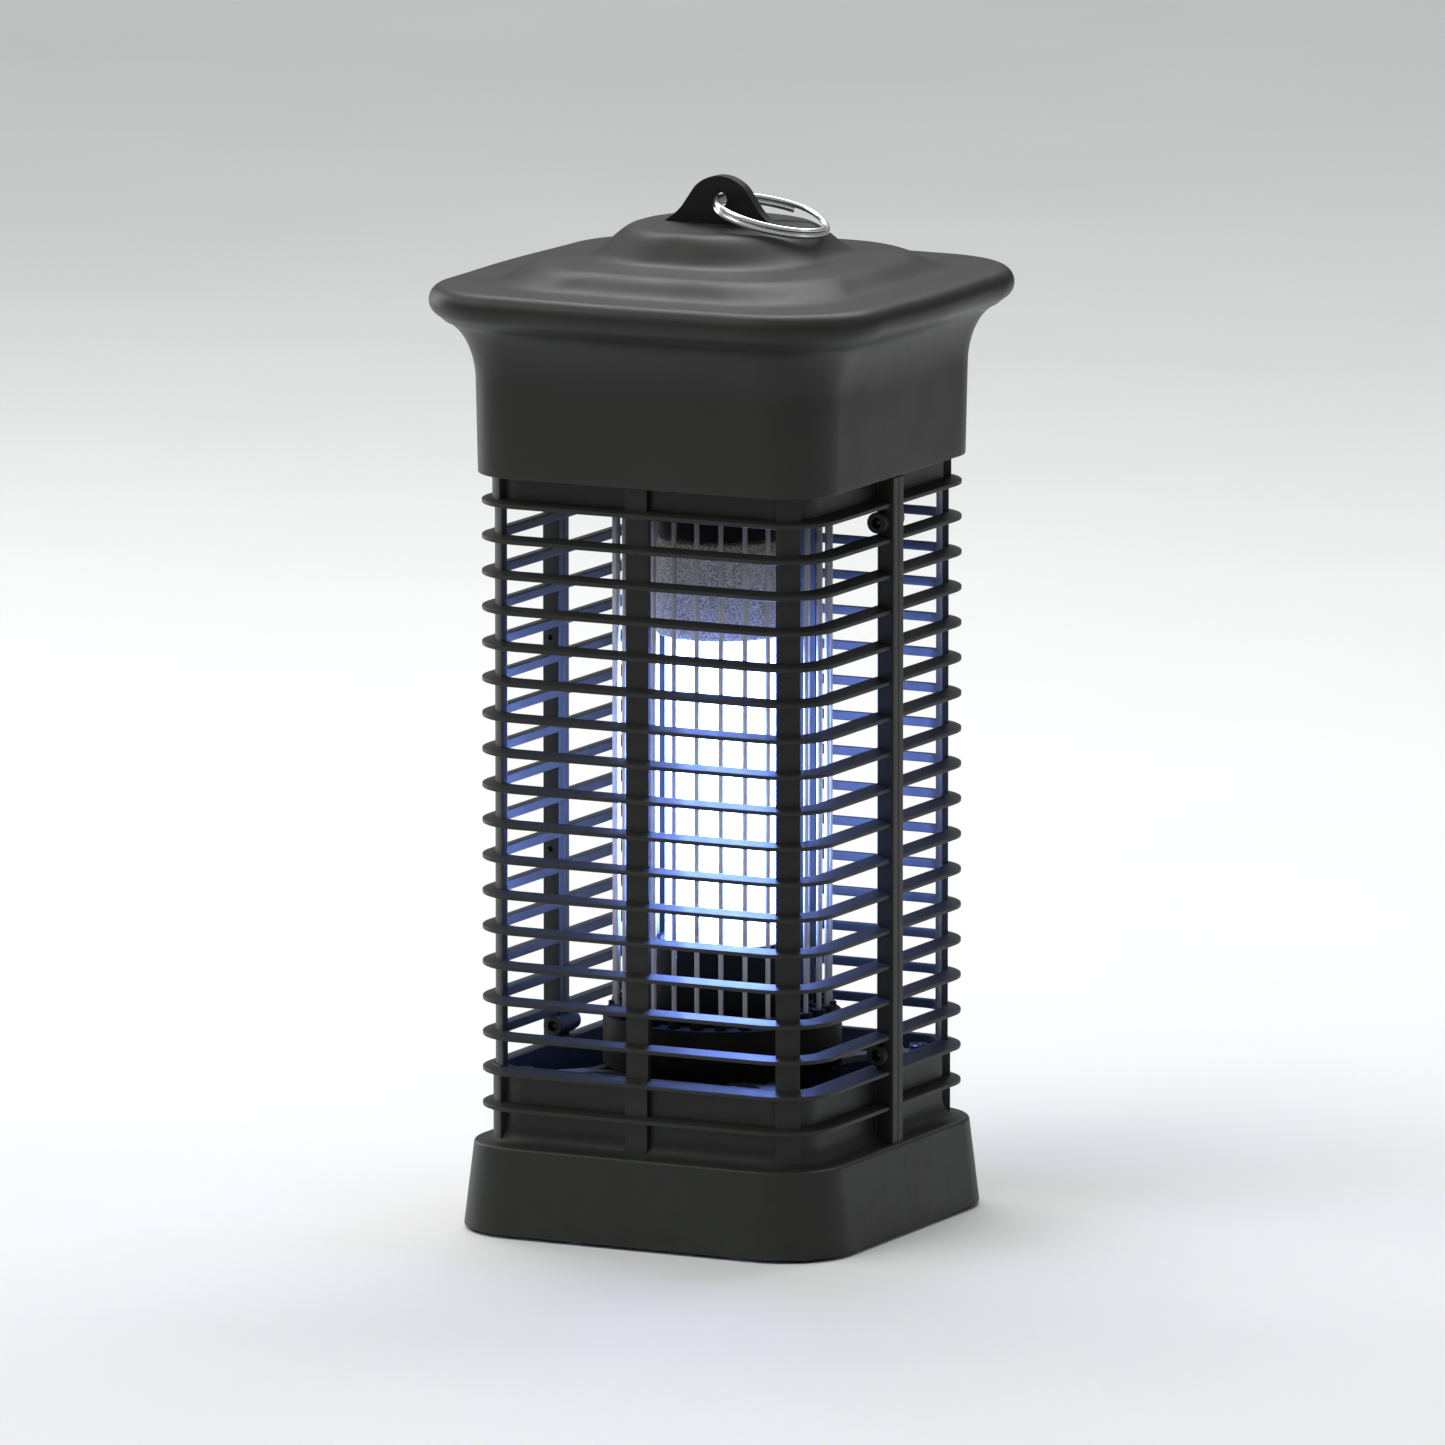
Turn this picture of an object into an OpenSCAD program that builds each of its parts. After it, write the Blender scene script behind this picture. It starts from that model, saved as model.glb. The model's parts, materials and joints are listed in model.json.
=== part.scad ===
// Hanging or free-standing electric bug zapper: lantern roof, finned cage in two
// half shells, circular high-voltage grid round a UV lamp, base with a catch tray.
// Frame: +Z up, -Y is the front, origin on the floor under the middle of the base.

/* [Cage] */
// Half width of the flat outer wall of the cage bands
wall_half = 52.6; // [52:0.1:53]
// Thickness of the moulded walls
wall = 2.0; // [1.8:0.1:2.2]
// Half width to the outer edge of the fins
fin_half = 57.9; // [57:0.1:58.5]
// Height of the lowest fin above the floor
fin_low_z = 38.1; // [37.5:0.1:38.5]
// Distance from one fin to the next
fin_pitch = 10.76; // [10.6:0.01:10.8]
// Thickness of a fin at its outer edge
fin_edge_t = 1.15; // [1:0.05:1.4]
// Thickness of a fin where it meets the wall
fin_root_t = 3.1; // [2.6:0.1:3.4]

/* [Base] */
// Half width of the base where it meets the floor
base_half = 63.6; // [63:0.1:64]
// Height of the base up to its shoulder
base_h = 27.2; // [26.8:0.1:27.6]
// Height of the rubber feet under the base
foot_h = 1.0; // [0.8:0.1:1.2]

/* [Roof] */
// Half width of the roof at its rolled lip
lip_half = 73.6; // [73:0.1:74.5]
// Half width of the roof skirt at its lower edge
skirt_half = 59.0; // [58.8:0.1:59.4]
// Height of the lower edge of the roof skirt
skirt_z = 231.2; // [231:0.1:232]
// Height of the flat top of the crown
crown_z = 301.6; // [301:0.1:302.5]

/* [Hanging ring] */
// Height of the hanging hole in the lug
lug_hole_z = 309; // [308.6:0.1:309.4]
// Radius of the hanging hole
lug_hole_r = 2.2; // [2.1:0.05:2.4]
// Mean radius of the split ring
ring_r = 17; // [16.5:0.1:17.5]
// Radius of the ring wire
ring_wire_r = 0.85; // [0.8:0.05:0.9]
// Angle below horizontal at which the ring rests on the crown
ring_rest = 13.5; // [12:0.5:13.5]

/* [Grid and lamp] */
// Number of grid rods, half of each polarity
rod_count = 28; // [20:2:32]
// Radius of the circle of rods
rod_circle_r = 32.3; // [32:0.1:32.6]
// Radius of a rod
rod_r = 0.75; // [0.7:0.05:0.8]
// Radius of the glowing envelope
envelope_r = 17.2; // [16.5:0.1:17.5]
// Radius of the ballast housing and of the lamp cup
housing_r = 20.4; // [20:0.1:20.8]

/* [Hidden] */
$fn = 48;

// Every rounded square of cage and base has its corner centres at this distance
corner = 40.9;
fin_count = 18;
// Fin 0 is the lowest; the two closed bands end at fin 1 and start at the top fin
function fin_z(i) = fin_low_z + fin_pitch * i;
top_fin_z = fin_z(fin_count - 1);
band_low_top = fin_z(1) + fin_root_t / 2;
band_high_bottom = top_fin_z - fin_root_t / 2;
band_high_top = 238;
wall_in = wall_half - wall;

// Upright bars of a cage half
mid_bar_x = -1.5;
mid_bar_w = 7.5;
bar_out = 1.4;
bar_in = -0.6;
band_rib_out = 2.15;
// Where the corner bar starts on the right and on the left, and how far it turns
corner_bar_from = [285.4, 299.9];
corner_bar_sweep = 33.3;

// Top ledge of the base: its outer corner and the cove up to the wall
ledge_out = base_half - 3.0;
shoulder_r = 1.2;
cove_w = 4.6;
cove_h = 6;

// Side flanges and their bosses
flange_in = 53.3;
flange_out = 58.8;
flange_w = 3.45;
flange_top = skirt_z - 0.2;
boss_x = 54.3;
boss_r = 3.2;
boss_front = 6.1;
boss_rear = 5.2;
boss_z = [fin_z(1.5), fin_z(fin_count - 1.5)];
pin_x = 56.2;
pin_z = [fin_z(6.5), fin_z(12.5)];
shell_screw_r = 1.6;

// Partition between cage and roof
plate_z = 226.5;
plate_t = 3;
plate_top = plate_z + plate_t;
roof_post = 38;
roof_post_r = 4.5;
pilot_r = 1.3;
free_hole_r = 1.7;
socket_screw_y = 22.2;
live_lead_x = 34.9;
return_lead_x = -29.7;
lead_hole_r = 1.05;

// Roof shell: outer field, terraces, rolled lip and mesh steps round each ring
field_z = 286.3;
terrace_rise = 5.4;
lip_r = 4.8;
lip_mid_z = 281.5;
roof_wall = 2.2;
flare_low_z = skirt_z + 27;
flare_rise = 19.5;
corner_steps = 10;
side_steps = 5;

// Lug and the plate that clamps it from below
lug_t = 4;
lug_top = 7.2;
lug_half = 10.95;
lug_slope = 0.69;
lug_flare = 0.09;
lug_cap_from = 2;
lug_depth = 4.6;
lug_plate_t = 2.5;
lug_screw_x = 8;

// Grid insulators and rods
insulator_z = 216.5;
insulator_t = 6;
bus_t = 0.8;
rod_top = insulator_z + insulator_t + bus_t;
grid_base_top = 62.6;
rod_bottom = 56;
ear_at = 29;
ear_r = 4.8;
ring_out_r = 36;
ring_wall_in_r = 34;
ring_bore_r = 29.2;
cup_floor_z = 58;

// Lamp column
cup_top = 85;
tube_at = 6.4;
tube_low = 84;
housing_low = 178;
housing_high = 208;
socket_low = 208.6;
socket_high = 240;

// Circuit board
board_z = 246;
board_t = 1.6;
board_top = board_z + board_t;
pillar_x = 33;
pillar_y = 14;
lamp_lead_x = 6;
core_at = [-16, -15];
fuse_at = [-20, 22.5];
capacitor_y = [-29, -20, -11];
capacitor_size = [20, 7.5, 14];
diode_at = [for (y = [8:4:20]) [13, y]];
resistor_at = [for (y = [8:4:16]) [25, y]];

// Base brackets
bracket_z = 45;
bracket_t = 2;
corner_post_d = 62.5;
prong_angle = 13;
prong_r = 32.5;

// Cord gland in the rear of the roof skirt
gland_z = 248;
gland_hole_r = 6;
cord_bore_r = 3.3;

// Catch tray
tray_half = 53.5;
tray_low = 2.4;
tray_high = 20.6;
tray_wall = 1.5;
tray_gap = 0.35;
clip_screw_z = 17;

foot_at = 53;

plastic = [0.17, 0.18, 0.165];
plastic_dark = [0.08, 0.085, 0.08];
steel = [0.75, 0.76, 0.78];
brass = [0.78, 0.62, 0.3];

// Sweep of a half-section round the whole rounded square, or round its front half.
// The section's first coordinate is the half width, its second the height.
module side_run(section, length) {
    rotate([90, 0, 90]) linear_extrude(length, center = true) polygon(section);
}

module corner_run(section) {
    translate([corner, corner, 0]) rotate_extrude(angle = 90)
        translate([-corner, 0]) polygon(section);
}

module half_sweep(section) {
    rotate([0, 0, 180]) side_run(section, 2 * corner);
    for (s = [0, 1]) mirror([s, 0, 0]) {
        mirror([0, 1, 0]) corner_run(section);
        rotate([90, 0, 0]) linear_extrude(corner) polygon(section);
    }
}

// Rounded-square slab with corner centres at the common corner distance
module slab(half, z, t) {
    r = half - corner;
    translate([0, 0, z]) linear_extrude(t) union() {
        square([2 * half, 2 * corner], center = true);
        square([2 * corner, 2 * half], center = true);
        for (x = [-corner, corner], y = [-corner, corner]) translate([x, y]) circle(r);
    }
}

// Points of an elliptical arc in a section
function arc(cx, cz, rx, rz, from, to, steps = 5) =
    [for (i = [0:steps]) let(a = from + (to - from) * i / steps) [cx + rx * cos(a), cz + rz * sin(a)]];

module at_diagonals(d) {
    for (x = [-d, d], y = [-d, d]) translate([x, y, 0]) children();
}

module along_y(r, from, to) {
    translate([0, to, 0]) rotate([90, 0, 0]) cylinder(r = r, h = to - from);
}

module pan_screw(shank_r, length, head_r, head_h) {
    cylinder(r = shank_r, h = length);
    translate([0, 0, -head_h]) difference() {
        cylinder(r = head_r, h = head_h);
        for (a = [0, 90]) rotate([0, 0, a]) translate([-head_r * 0.6, -0.35, -1])
            cube([head_r * 1.2, 0.7, 1.9]);
    }
}

// ---- cage and base halves ----

base_out = [[base_half, foot_h], [ledge_out, base_h - shoulder_r]];
shoulder = arc(ledge_out - shoulder_r, base_h - shoulder_r, shoulder_r, shoulder_r, 18, 90, 4);
cove = arc(wall_half + cove_w, base_h + cove_h, cove_w, cove_h, 270, 180, 6);
base_in = [[wall_in, base_h + 6], [base_half - 8.4, base_h - 2.2], [base_half - 5.2, base_h - 3.2],
    [base_half - 2.2, foot_h]];
shell_section = concat(base_out, shoulder, cove, [[wall_half, band_low_top], [wall_in, band_low_top]],
    base_in);
high_band_section = [[wall_in, band_high_bottom], [wall_half, band_high_bottom],
    [wall_half, band_high_top], [wall_in, band_high_top]];

function fin_section(z) = [[wall_half - 0.2, z - fin_root_t / 2], [fin_half, z - fin_edge_t / 2],
    [fin_half, z + fin_edge_t / 2], [wall_half - 0.2, z + fin_root_t / 2]];

function ledge_section(z, t) = [[wall_in - 3, z], [wall_in + 0.2, z], [wall_in + 0.2, z + t],
    [wall_in - 3, z + t]];

module upright(x, w, out, in, z0, z1) {
    translate([x - w / 2, -wall_half - out, z0]) cube([w, out - in, z1 - z0]);
}

module corner_upright(from, out, in, z0, z1) {
    r0 = wall_half - corner + in;
    translate([corner, -corner, z0]) rotate([0, 0, from]) rotate_extrude(
        angle = corner_bar_sweep) translate([r0, 0]) square([out - in, z1 - z0]);
}

module bars(out, in, z0, z1) {
    upright(mid_bar_x, mid_bar_w, out, in, z0, z1);
    for (s = [0, 1]) mirror([s, 0, 0]) corner_upright(corner_bar_from[s], out, in, z0, z1);
}

// Ribs inside the base that guide the tray and stop it at the top
module tray_guide() {
    stop_z = tray_high + 0.3;
    rotate([90, 0, 0]) translate([0, 0, -1]) linear_extrude(2)
        polygon([[tray_half + tray_gap, foot_h + 1.5], [base_half - 2, foot_h + 1.5],
            [base_half - 4.4, stop_z + 1.6], [tray_half - 1.6, stop_z + 1.6],
            [tray_half - 1.6, stop_z], [tray_half + tray_gap, stop_z]]);
}

module clip_pad() {
    translate([-6, -base_half + 3.9, 13]) cube([12, 2.6, 7.5]);
}

module shell_half(front) {
    depth = front ? boss_front : boss_rear;
    union() {
        half_sweep(shell_section);
        half_sweep(high_band_section);
        half_sweep(ledge_section(plate_z - 2.5, 2.5));
        half_sweep(ledge_section(plate_top + 0.1, 2));
        for (i = [0:fin_count - 1]) half_sweep(fin_section(fin_z(i)));
        bars(bar_out, bar_in, band_low_top - 1, band_high_bottom + 1);
        bars(band_rib_out, -0.4, base_h + 0.7, band_low_top);
        bars(band_rib_out, -0.4, band_high_bottom, band_high_top - 1);
        for (s = [0, 1]) mirror([s, 0, 0]) {
            translate([flange_in, -flange_w, base_h - 0.5])
                cube([flange_out - flange_in, flange_w, flange_top - base_h + 0.5]);
            // Webs that tie the flange to the bands
            translate([wall_half - 0.4, -flange_w, base_h + 3])
                cube([1.2, flange_w, band_low_top - base_h - 3]);
            translate([wall_half - 0.4, -flange_w, band_high_bottom])
                cube([1.2, flange_w, flange_top - band_high_bottom]);
            for (z = boss_z) translate([boss_x, 0, z]) along_y(boss_r, -depth, 0);
            // Corner post of the base bracket, foot post and tray guides
            rotate([0, 0, -45]) translate([corner_post_d, 0, 29]) cylinder(r = 6.4, h = bracket_z - 29);
            translate([foot_at, -foot_at, foot_h]) cylinder(r = 4, h = 12);
            translate([0, -22, 0]) tray_guide();
            rotate([0, 0, -90]) translate([0, 22, 0]) tray_guide();
        }
        clip_pad();
    }
}

module shell_cuts(front) {
    for (s = [0, 1]) mirror([s, 0, 0]) {
        for (z = boss_z) translate([boss_x, 0, z]) {
            if (front) along_y(shell_screw_r + 0.05, -boss_front - 1, 1);
            else along_y(shell_screw_r + 0.3, -boss_rear - 1, 1);
        }
        rotate([0, 0, -45]) translate([corner_post_d, 0, bracket_z - 10]) cylinder(r = pilot_r, h = 11);
        translate([foot_at, -foot_at, foot_h - 1]) cylinder(r = 2, h = 7);
        if (front) for (z = pin_z) translate([pin_x, 0, z]) along_y(0.9, -flange_w - 1, 1);
    }
    translate([0, -base_half + 7, clip_screw_z]) along_y(0.9, -2.8, 1);
}

module front_shell() {
    color(plastic) difference() {
        shell_half(true);
        shell_cuts(true);
    }
}

module rear_shell() {
    color(plastic) rotate([0, 0, 180]) {
        difference() {
            shell_half(false);
            shell_cuts(false);
        }
        for (s = [0, 1]) mirror([s, 0, 0]) for (z = pin_z)
            translate([pin_x, 0, z]) along_y(0.85, -1, 2.2);
    }
}

module shell_screws() {
    color(steel) for (x = [-boss_x, boss_x], z = boss_z) translate([x, boss_rear, z])
        rotate([90, 0, 0]) pan_screw(shell_screw_r, boss_rear + boss_front - 1.3, 2.9, 2);
}

// ---- roof ----

// Corner radius of the roof's outline at a half width, from skirt to crown
function roof_corner_r(h) = min(h, 20 + 0.19 * h);
function skirt_corner_r(h) = h - corner;
function smooth(t) = let(u = max(0, min(1, t))) u * u * (3 - 2 * u);

// Height of the roof's top surface over half width h
function roof_top_z(h) = field_z + terrace_rise * smooth((57.5 - h) / 9)
    + 0.1 * max(0, min(12, 49 - h))
    + (crown_z - field_z - terrace_rise - 1.2) * smooth((37 - h) / 11);

// Rings of the outer surface: half width, corner radius, height, bulge of the sides
skirt_rings = [for (t = [0:0.25:1]) let(h = skirt_half + 0.6 * t)
    [h, skirt_corner_r(h), skirt_z + (flare_low_z - skirt_z) * t, 0.3 * t]];
flare_rings = [for (i = [1:6]) let(a = 90 * i / 7, h = skirt_half + 0.6 + 12 * (1 - cos(a)))
    [h, skirt_corner_r(h), flare_low_z + flare_rise * sin(a), 0.3 + 0.9 * i / 7]];
lip_rings = [for (a = [-60:20:80]) let(h = lip_half - lip_r + lip_r * cos(a))
    [h, skirt_corner_r(h), lip_mid_z + lip_r * sin(a), 1.3]];
top_rings = [for (h = [66, 62, 59, 57, 55, 53, 51, 49, 46, 42, 38, 36, 34, 32, 30, 28, 26, 24, 20, 10])
    [h, min(h, roof_corner_r(h) + (skirt_corner_r(66) - roof_corner_r(66)) * smooth((h - 50) / 16)),
        roof_top_z(h), 1.3 * smooth((h - 30) / 36)]];
inner_top = [for (h = [10, 24, 28, 32, 36, 42, 49, 53, 57, 62, 66])
    [h, roof_corner_r(h), roof_top_z(h) - roof_wall, 1.3 * smooth((h - 30) / 36)]];
inner_side = [for (i = [6:-1:1]) let(a = 90 * i / 7, h = skirt_half - wall + 0.6 + 11 * (1 - cos(a)))
    [h, skirt_corner_r(h), flare_low_z + flare_rise * sin(a), 0.3 + 0.9 * i / 7]];
inner_skirt = [for (t = [1:-0.5:0]) let(h = skirt_half - wall + 0.6 * t)
    [h, skirt_corner_r(h), skirt_z + (flare_low_z - skirt_z) * t, 0.3 * t]];
roof_rings = concat(skirt_rings, flare_rings, lip_rings, top_rings, inner_top, inner_side, inner_skirt);

ring_points = 4 * (corner_steps + 1 + side_steps);

// One side and one corner of a roof ring, turned to quadrant q
function ring_quadrant(ring, q) = let(h = ring[0], r = ring[1], c = h - r) [
    for (i = [1:side_steps]) let(u = 2 * i / (side_steps + 1) - 1)
        turned([h + ring[3] * (1 - u * u) * (1 - u * u), c * u], q, ring[2]),
    for (i = [0:corner_steps]) let(a = 90 * i / corner_steps)
        turned([c + r * cos(a), c + r * sin(a)], q, ring[2])];
function turned(p, q, z) = let(a = 90 * q)
    [p[0] * cos(a) - p[1] * sin(a), p[0] * sin(a) + p[1] * cos(a), z];
function ring_outline(ring) = [for (q = [0:3], p = ring_quadrant(ring, q)) p];

module roof_skin() {
    outer = len(skirt_rings) + len(flare_rings) + len(lip_rings) + len(top_rings);
    total = len(roof_rings);
    n = ring_points;
    top = [0, 0, crown_z];
    under = [0, 0, crown_z - roof_wall];
    points = concat([for (ring = roof_rings, p = ring_outline(ring)) p], [top, under]);
    faces = [
        for (k = [0:total - 1], i = [0:n - 1]) if (k != outer - 1)
            let(a = k * n, b = ((k + 1) % total) * n, j = (i + 1) % n) each
                [[a + i, b + i, a + j], [a + j, b + i, b + j]],
        for (i = [0:n - 1]) let(a = (outer - 1) * n, j = (i + 1) % n) [a + i, total * n, a + j],
        for (i = [0:n - 1]) let(a = outer * n, j = (i + 1) % n) [a + i, a + j, total * n + 1]];
    polyhedron(points, faces);
}

module roof_cap() {
    color(plastic) difference() {
        union() {
            roof_skin();
            at_diagonals(roof_post) translate([0, 0, plate_top])
                cylinder(r = roof_post_r, h = roof_top_z(46) - 1.2 - plate_top);
            // Pad under the crown that the lug's clamp plate pulls against
            translate([-20, -8, crown_z - lug_depth]) cube([40, 16, 3.6]);
        }
        at_diagonals(roof_post) translate([0, 0, plate_top - 1]) cylinder(r = pilot_r, h = 15);
        translate([-12.1, -2.1, crown_z - 6]) cube([24.2, 4.2, 8]);
        translate([0, 0, gland_z]) along_y(gland_hole_r, 50, 70);
    }
}

// ---- hanging lug and ring ----

// Half width of the bell-shaped lug at a height above the hole: sloping flanks, flared
// foot and rounded top
function lug_half_at(z) = (lug_half - lug_slope * z)
    * sqrt(1 - pow(max(0, z - lug_cap_from) / (lug_top - lug_cap_from), 3))
    + lug_flare * pow(max(0, -lug_cap_from - z), 2);

module hanging_lug() {
    foot = crown_z - lug_hole_z;
    low = [for (i = [0:14]) let(z = foot + (lug_cap_from - foot) * i / 14) [lug_half_at(z), lug_hole_z + z]];
    cap = [for (i = [1:14]) let(z = lug_cap_from + (lug_top - lug_cap_from) * sin(90 * i / 14))
        [lug_half_at(z), lug_hole_z + z]];
    bell = concat(low, [for (i = [0:12]) cap[i]], [[0, lug_hole_z + lug_top]]);
    color(plastic_dark) difference() {
        translate([0, lug_t / 2, 0]) rotate([90, 0, 0]) linear_extrude(lug_t) union() {
            polygon(concat(bell, [for (i = [len(bell) - 2:-1:0]) [-bell[i][0], bell[i][1]]]));
            translate([-12, crown_z - lug_depth]) square([24, 6]);
        }
        translate([0, 0, lug_hole_z]) along_y(lug_hole_r, -5, 5);
        for (x = [-lug_screw_x, lug_screw_x]) translate([x, 0, crown_z - 6]) cylinder(r = 1, h = 7.4);
    }
}

module lug_clamp_plate() {
    color(steel) difference() {
        translate([-18, -7, crown_z - lug_depth - lug_plate_t]) cube([36, 14, lug_plate_t]);
        for (x = [-lug_screw_x, lug_screw_x]) translate([x, 0, crown_z - 8]) cylinder(r = pilot_r, h = 5);
    }
}

module lug_screws() {
    color(steel) for (x = [-lug_screw_x, lug_screw_x]) translate([x, 0, crown_z - lug_depth - lug_plate_t]) pan_screw(0.95, 7.5, 2.2, 1.5);
}

module split_ring() {
    lift = ring_wire_r * 0.96;
    color([0.9, 0.9, 0.92]) translate([0, 0, lug_hole_z]) rotate([0, ring_rest, 0])
        translate([ring_r, 0, 0]) for (z = [-lift, lift]) translate([0, 0, z])
            rotate_extrude($fn = 96) translate([ring_r, 0]) circle(ring_wire_r, $fn = 24);
}

// ---- partition and grid ----

module chassis_plate() {
    color(plastic_dark) difference() {
        slab(wall_in - 0.2, plate_z, plate_t);
        translate([0, 0, plate_z - 1]) cylinder(r = 19.7, h = plate_t + 2);
        at_diagonals(roof_post) translate([0, 0, plate_z - 1]) cylinder(r = free_hole_r, h = plate_t + 2);
        at_diagonals(ear_at) translate([0, 0, plate_z - 1]) cylinder(r = 1.5, h = plate_t + 2);
        for (x = [-pillar_x, pillar_x], y = [-pillar_y, pillar_y])
            translate([x, y, plate_z - 1]) cylinder(r = free_hole_r, h = plate_t + 2);
        for (y = [-socket_screw_y, socket_screw_y]) translate([0, y, plate_z - 1]) cylinder(r = pilot_r, h = plate_t + 2);
        for (x = [return_lead_x, live_lead_x]) translate([x, 0, plate_z - 1]) cylinder(r = 1.8, h = plate_t + 2);
    }
}

module roof_screws() {
    color(steel) at_diagonals(roof_post) translate([0, 0, plate_z]) pan_screw(1.25, 16, 2.8, 2);
}

module grid_top_insulator() {
    color(plastic_dark) difference() {
        union() {
            translate([0, 0, insulator_z]) cylinder(r = 37, h = insulator_t);
            at_diagonals(ear_at) translate([0, 0, insulator_z]) cylinder(r = ear_r, h = plate_z - insulator_z);
        }
        translate([0, 0, insulator_z - 1]) cylinder(r = 28.2, h = insulator_t + 2);
        at_diagonals(ear_at) translate([0, 0, plate_z - 8]) cylinder(r = 1.2, h = 9);
        for (i = [0:rod_count - 1]) rotate([0, 0, -90 + i * 360 / rod_count])
            translate([rod_circle_r, 0, insulator_z - 1]) cylinder(r = rod_r + 0.05, h = insulator_t + 2);
    }
}

module insulator_screws() {
    color(steel) at_diagonals(ear_at) translate([0, 0, plate_top]) mirror([0, 0, 1])
        pan_screw(1.15, 9, 2.6, 1.8);
}

module rods(first) {
    color(steel) for (i = [first:2:rod_count - 1]) rotate([0, 0, -90 + i * 360 / rod_count])
        translate([rod_circle_r, 0, rod_bottom]) cylinder(r = rod_r, h = rod_top - rod_bottom);
}

module grid_rods_live() { rods(0); }
module grid_rods_return() { rods(1); }

// Flat ring with a tab to every second rod
module bus_ring(first, r_in, r_out, tab_in, tab_out) {
    color(brass) translate([0, 0, insulator_z + insulator_t]) difference() {
        union() {
            difference() {
                cylinder(r = r_out, h = bus_t);
                translate([0, 0, -1]) cylinder(r = r_in, h = bus_t + 2);
            }
            for (i = [first:2:rod_count - 1]) rotate([0, 0, -90 + i * 360 / rod_count])
                translate([tab_in, -1.3, 0]) cube([tab_out - tab_in, 2.6, bus_t]);
        }
        for (i = [first:2:rod_count - 1]) rotate([0, 0, -90 + i * 360 / rod_count])
            translate([rod_circle_r, 0, -1]) cylinder(r = rod_r + 0.02, h = bus_t + 2);
        at_diagonals(ear_at) translate([0, 0, -1]) cylinder(r = ear_r + 0.4, h = bus_t + 2);
    }
}

module bus_ring_live() { bus_ring(0, 34.2, 36.2, 31.2, 35); }
module bus_ring_return() { bus_ring(1, 28.6, 30.6, 29.8, 33.4); }

module grid_base() {
    ring_low = bracket_z + bracket_t + 0.4;
    color(plastic_dark) difference() {
        union() {
            difference() {
                translate([0, 0, ring_low]) cylinder(r = ring_out_r, h = grid_base_top - ring_low);
                translate([0, 0, bracket_z]) cylinder(r = ring_wall_in_r, h = 9);
                translate([0, 0, bracket_z]) cylinder(r = ring_bore_r, h = 20);
            }
            for (i = [0:rod_count - 1]) rotate([0, 0, -90 + i * 360 / rod_count])
                translate([rod_circle_r, 0, grid_base_top - 1]) cylinder(r = 2, h = 4);
            for (a = [45:90:315], s = [-1, 1]) rotate([0, 0, a + s * prong_angle])
                translate([prong_r, 0, bracket_z + bracket_t]) cylinder(r = 2.6, h = 8);
            // Cup for the end of the lamp, on four arms
            difference() {
                translate([0, 0, cup_floor_z]) cylinder(r = housing_r, h = cup_top - cup_floor_z);
                translate([0, 0, cup_floor_z + 3]) cylinder(r = housing_r - 2, h = cup_top);
                translate([0, 0, cup_floor_z - 8]) cylinder(r = 6, h = 12);
            }
            for (a = [45:90:315]) rotate([0, 0, a]) translate([housing_r - 1, -2, cup_floor_z - 3])
                cube([ring_bore_r + 1.6 - housing_r, 4, 6.5]);
        }
        for (i = [0:rod_count - 1]) rotate([0, 0, -90 + i * 360 / rod_count])
            translate([rod_circle_r, 0, rod_bottom]) cylinder(r = rod_r + 0.05, h = 12);
        for (a = [45:90:315], s = [-1, 1]) rotate([0, 0, a + s * prong_angle])
            translate([prong_r, 0, bracket_z + 1]) cylinder(r = 1, h = 7);
    }
}

// Flat Y: stem to the corner post of the shells, two prongs under the grid base
module base_bracket() {
    fork = 43;
    difference() {
        translate([0, 0, bracket_z]) union() {
            translate([fork - 2, -3, 0]) cube([corner_post_d - fork + 2, 6, bracket_t]);
            translate([corner_post_d, 0, 0]) cylinder(r = 3.9, h = bracket_t);
            for (s = [-1, 1]) {
                tip = [prong_r * cos(prong_angle), s * prong_r * sin(prong_angle)];
                run = norm(tip - [fork, 0]);
                translate([fork, 0, 0]) rotate([0, 0, atan2(tip[1], tip[0] - fork)])
                    translate([0, -1.6, 0]) cube([run, 3.2, bracket_t]);
                translate([tip[0], tip[1], 0]) cylinder(r = 2.4, h = bracket_t);
            }
        }
        translate([corner_post_d, 0, bracket_z - 1]) cylinder(r = 1.6, h = bracket_t + 2);
        for (s = [-1, 1]) rotate([0, 0, s * prong_angle])
            translate([prong_r, 0, bracket_z - 1]) cylinder(r = 1.2, h = bracket_t + 2);
    }
}

module base_brackets() {
    color([0.6, 0.6, 0.6]) for (a = [45:90:315]) rotate([0, 0, a]) base_bracket();
}

module bracket_screws() {
    color(steel) for (a = [45:90:315]) rotate([0, 0, a]) {
        for (s = [-1, 1]) rotate([0, 0, s * prong_angle]) translate([prong_r, 0, bracket_z])
            pan_screw(0.95, 7, 2, 1.4);
        translate([corner_post_d, 0, bracket_z + bracket_t]) mirror([0, 0, 1]) pan_screw(1.25, 10, 2.8, 1.8);
    }
}

// ---- lamp ----

module lamp_envelope() {
    dome = arc(envelope_r - 8, 76, 8, 8, -90, 0, 6);
    inner = arc(envelope_r - 8, 76, 7, 7, 0, -90, 6);
    color([0.85, 0.9, 1]) rotate_extrude($fn = 72) polygon(concat([[0, 68]], dome,
        [[envelope_r, housing_low + 1], [envelope_r - 1, housing_low + 1]], inner, [[0, 69]]));
}

module lamp_tubes() {
    tube_r = 4.2;
    color([0.9, 0.92, 1]) for (y = [-tube_at, tube_at]) translate([0, y, tube_low]) {
        for (x = [-tube_at, tube_at]) translate([x, 0, 0]) cylinder(r = tube_r, h = housing_low + 5 - tube_low);
        rotate([-90, 0, 0]) rotate_extrude(angle = 180) translate([tube_at, 0]) circle(tube_r);
    }
}

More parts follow.
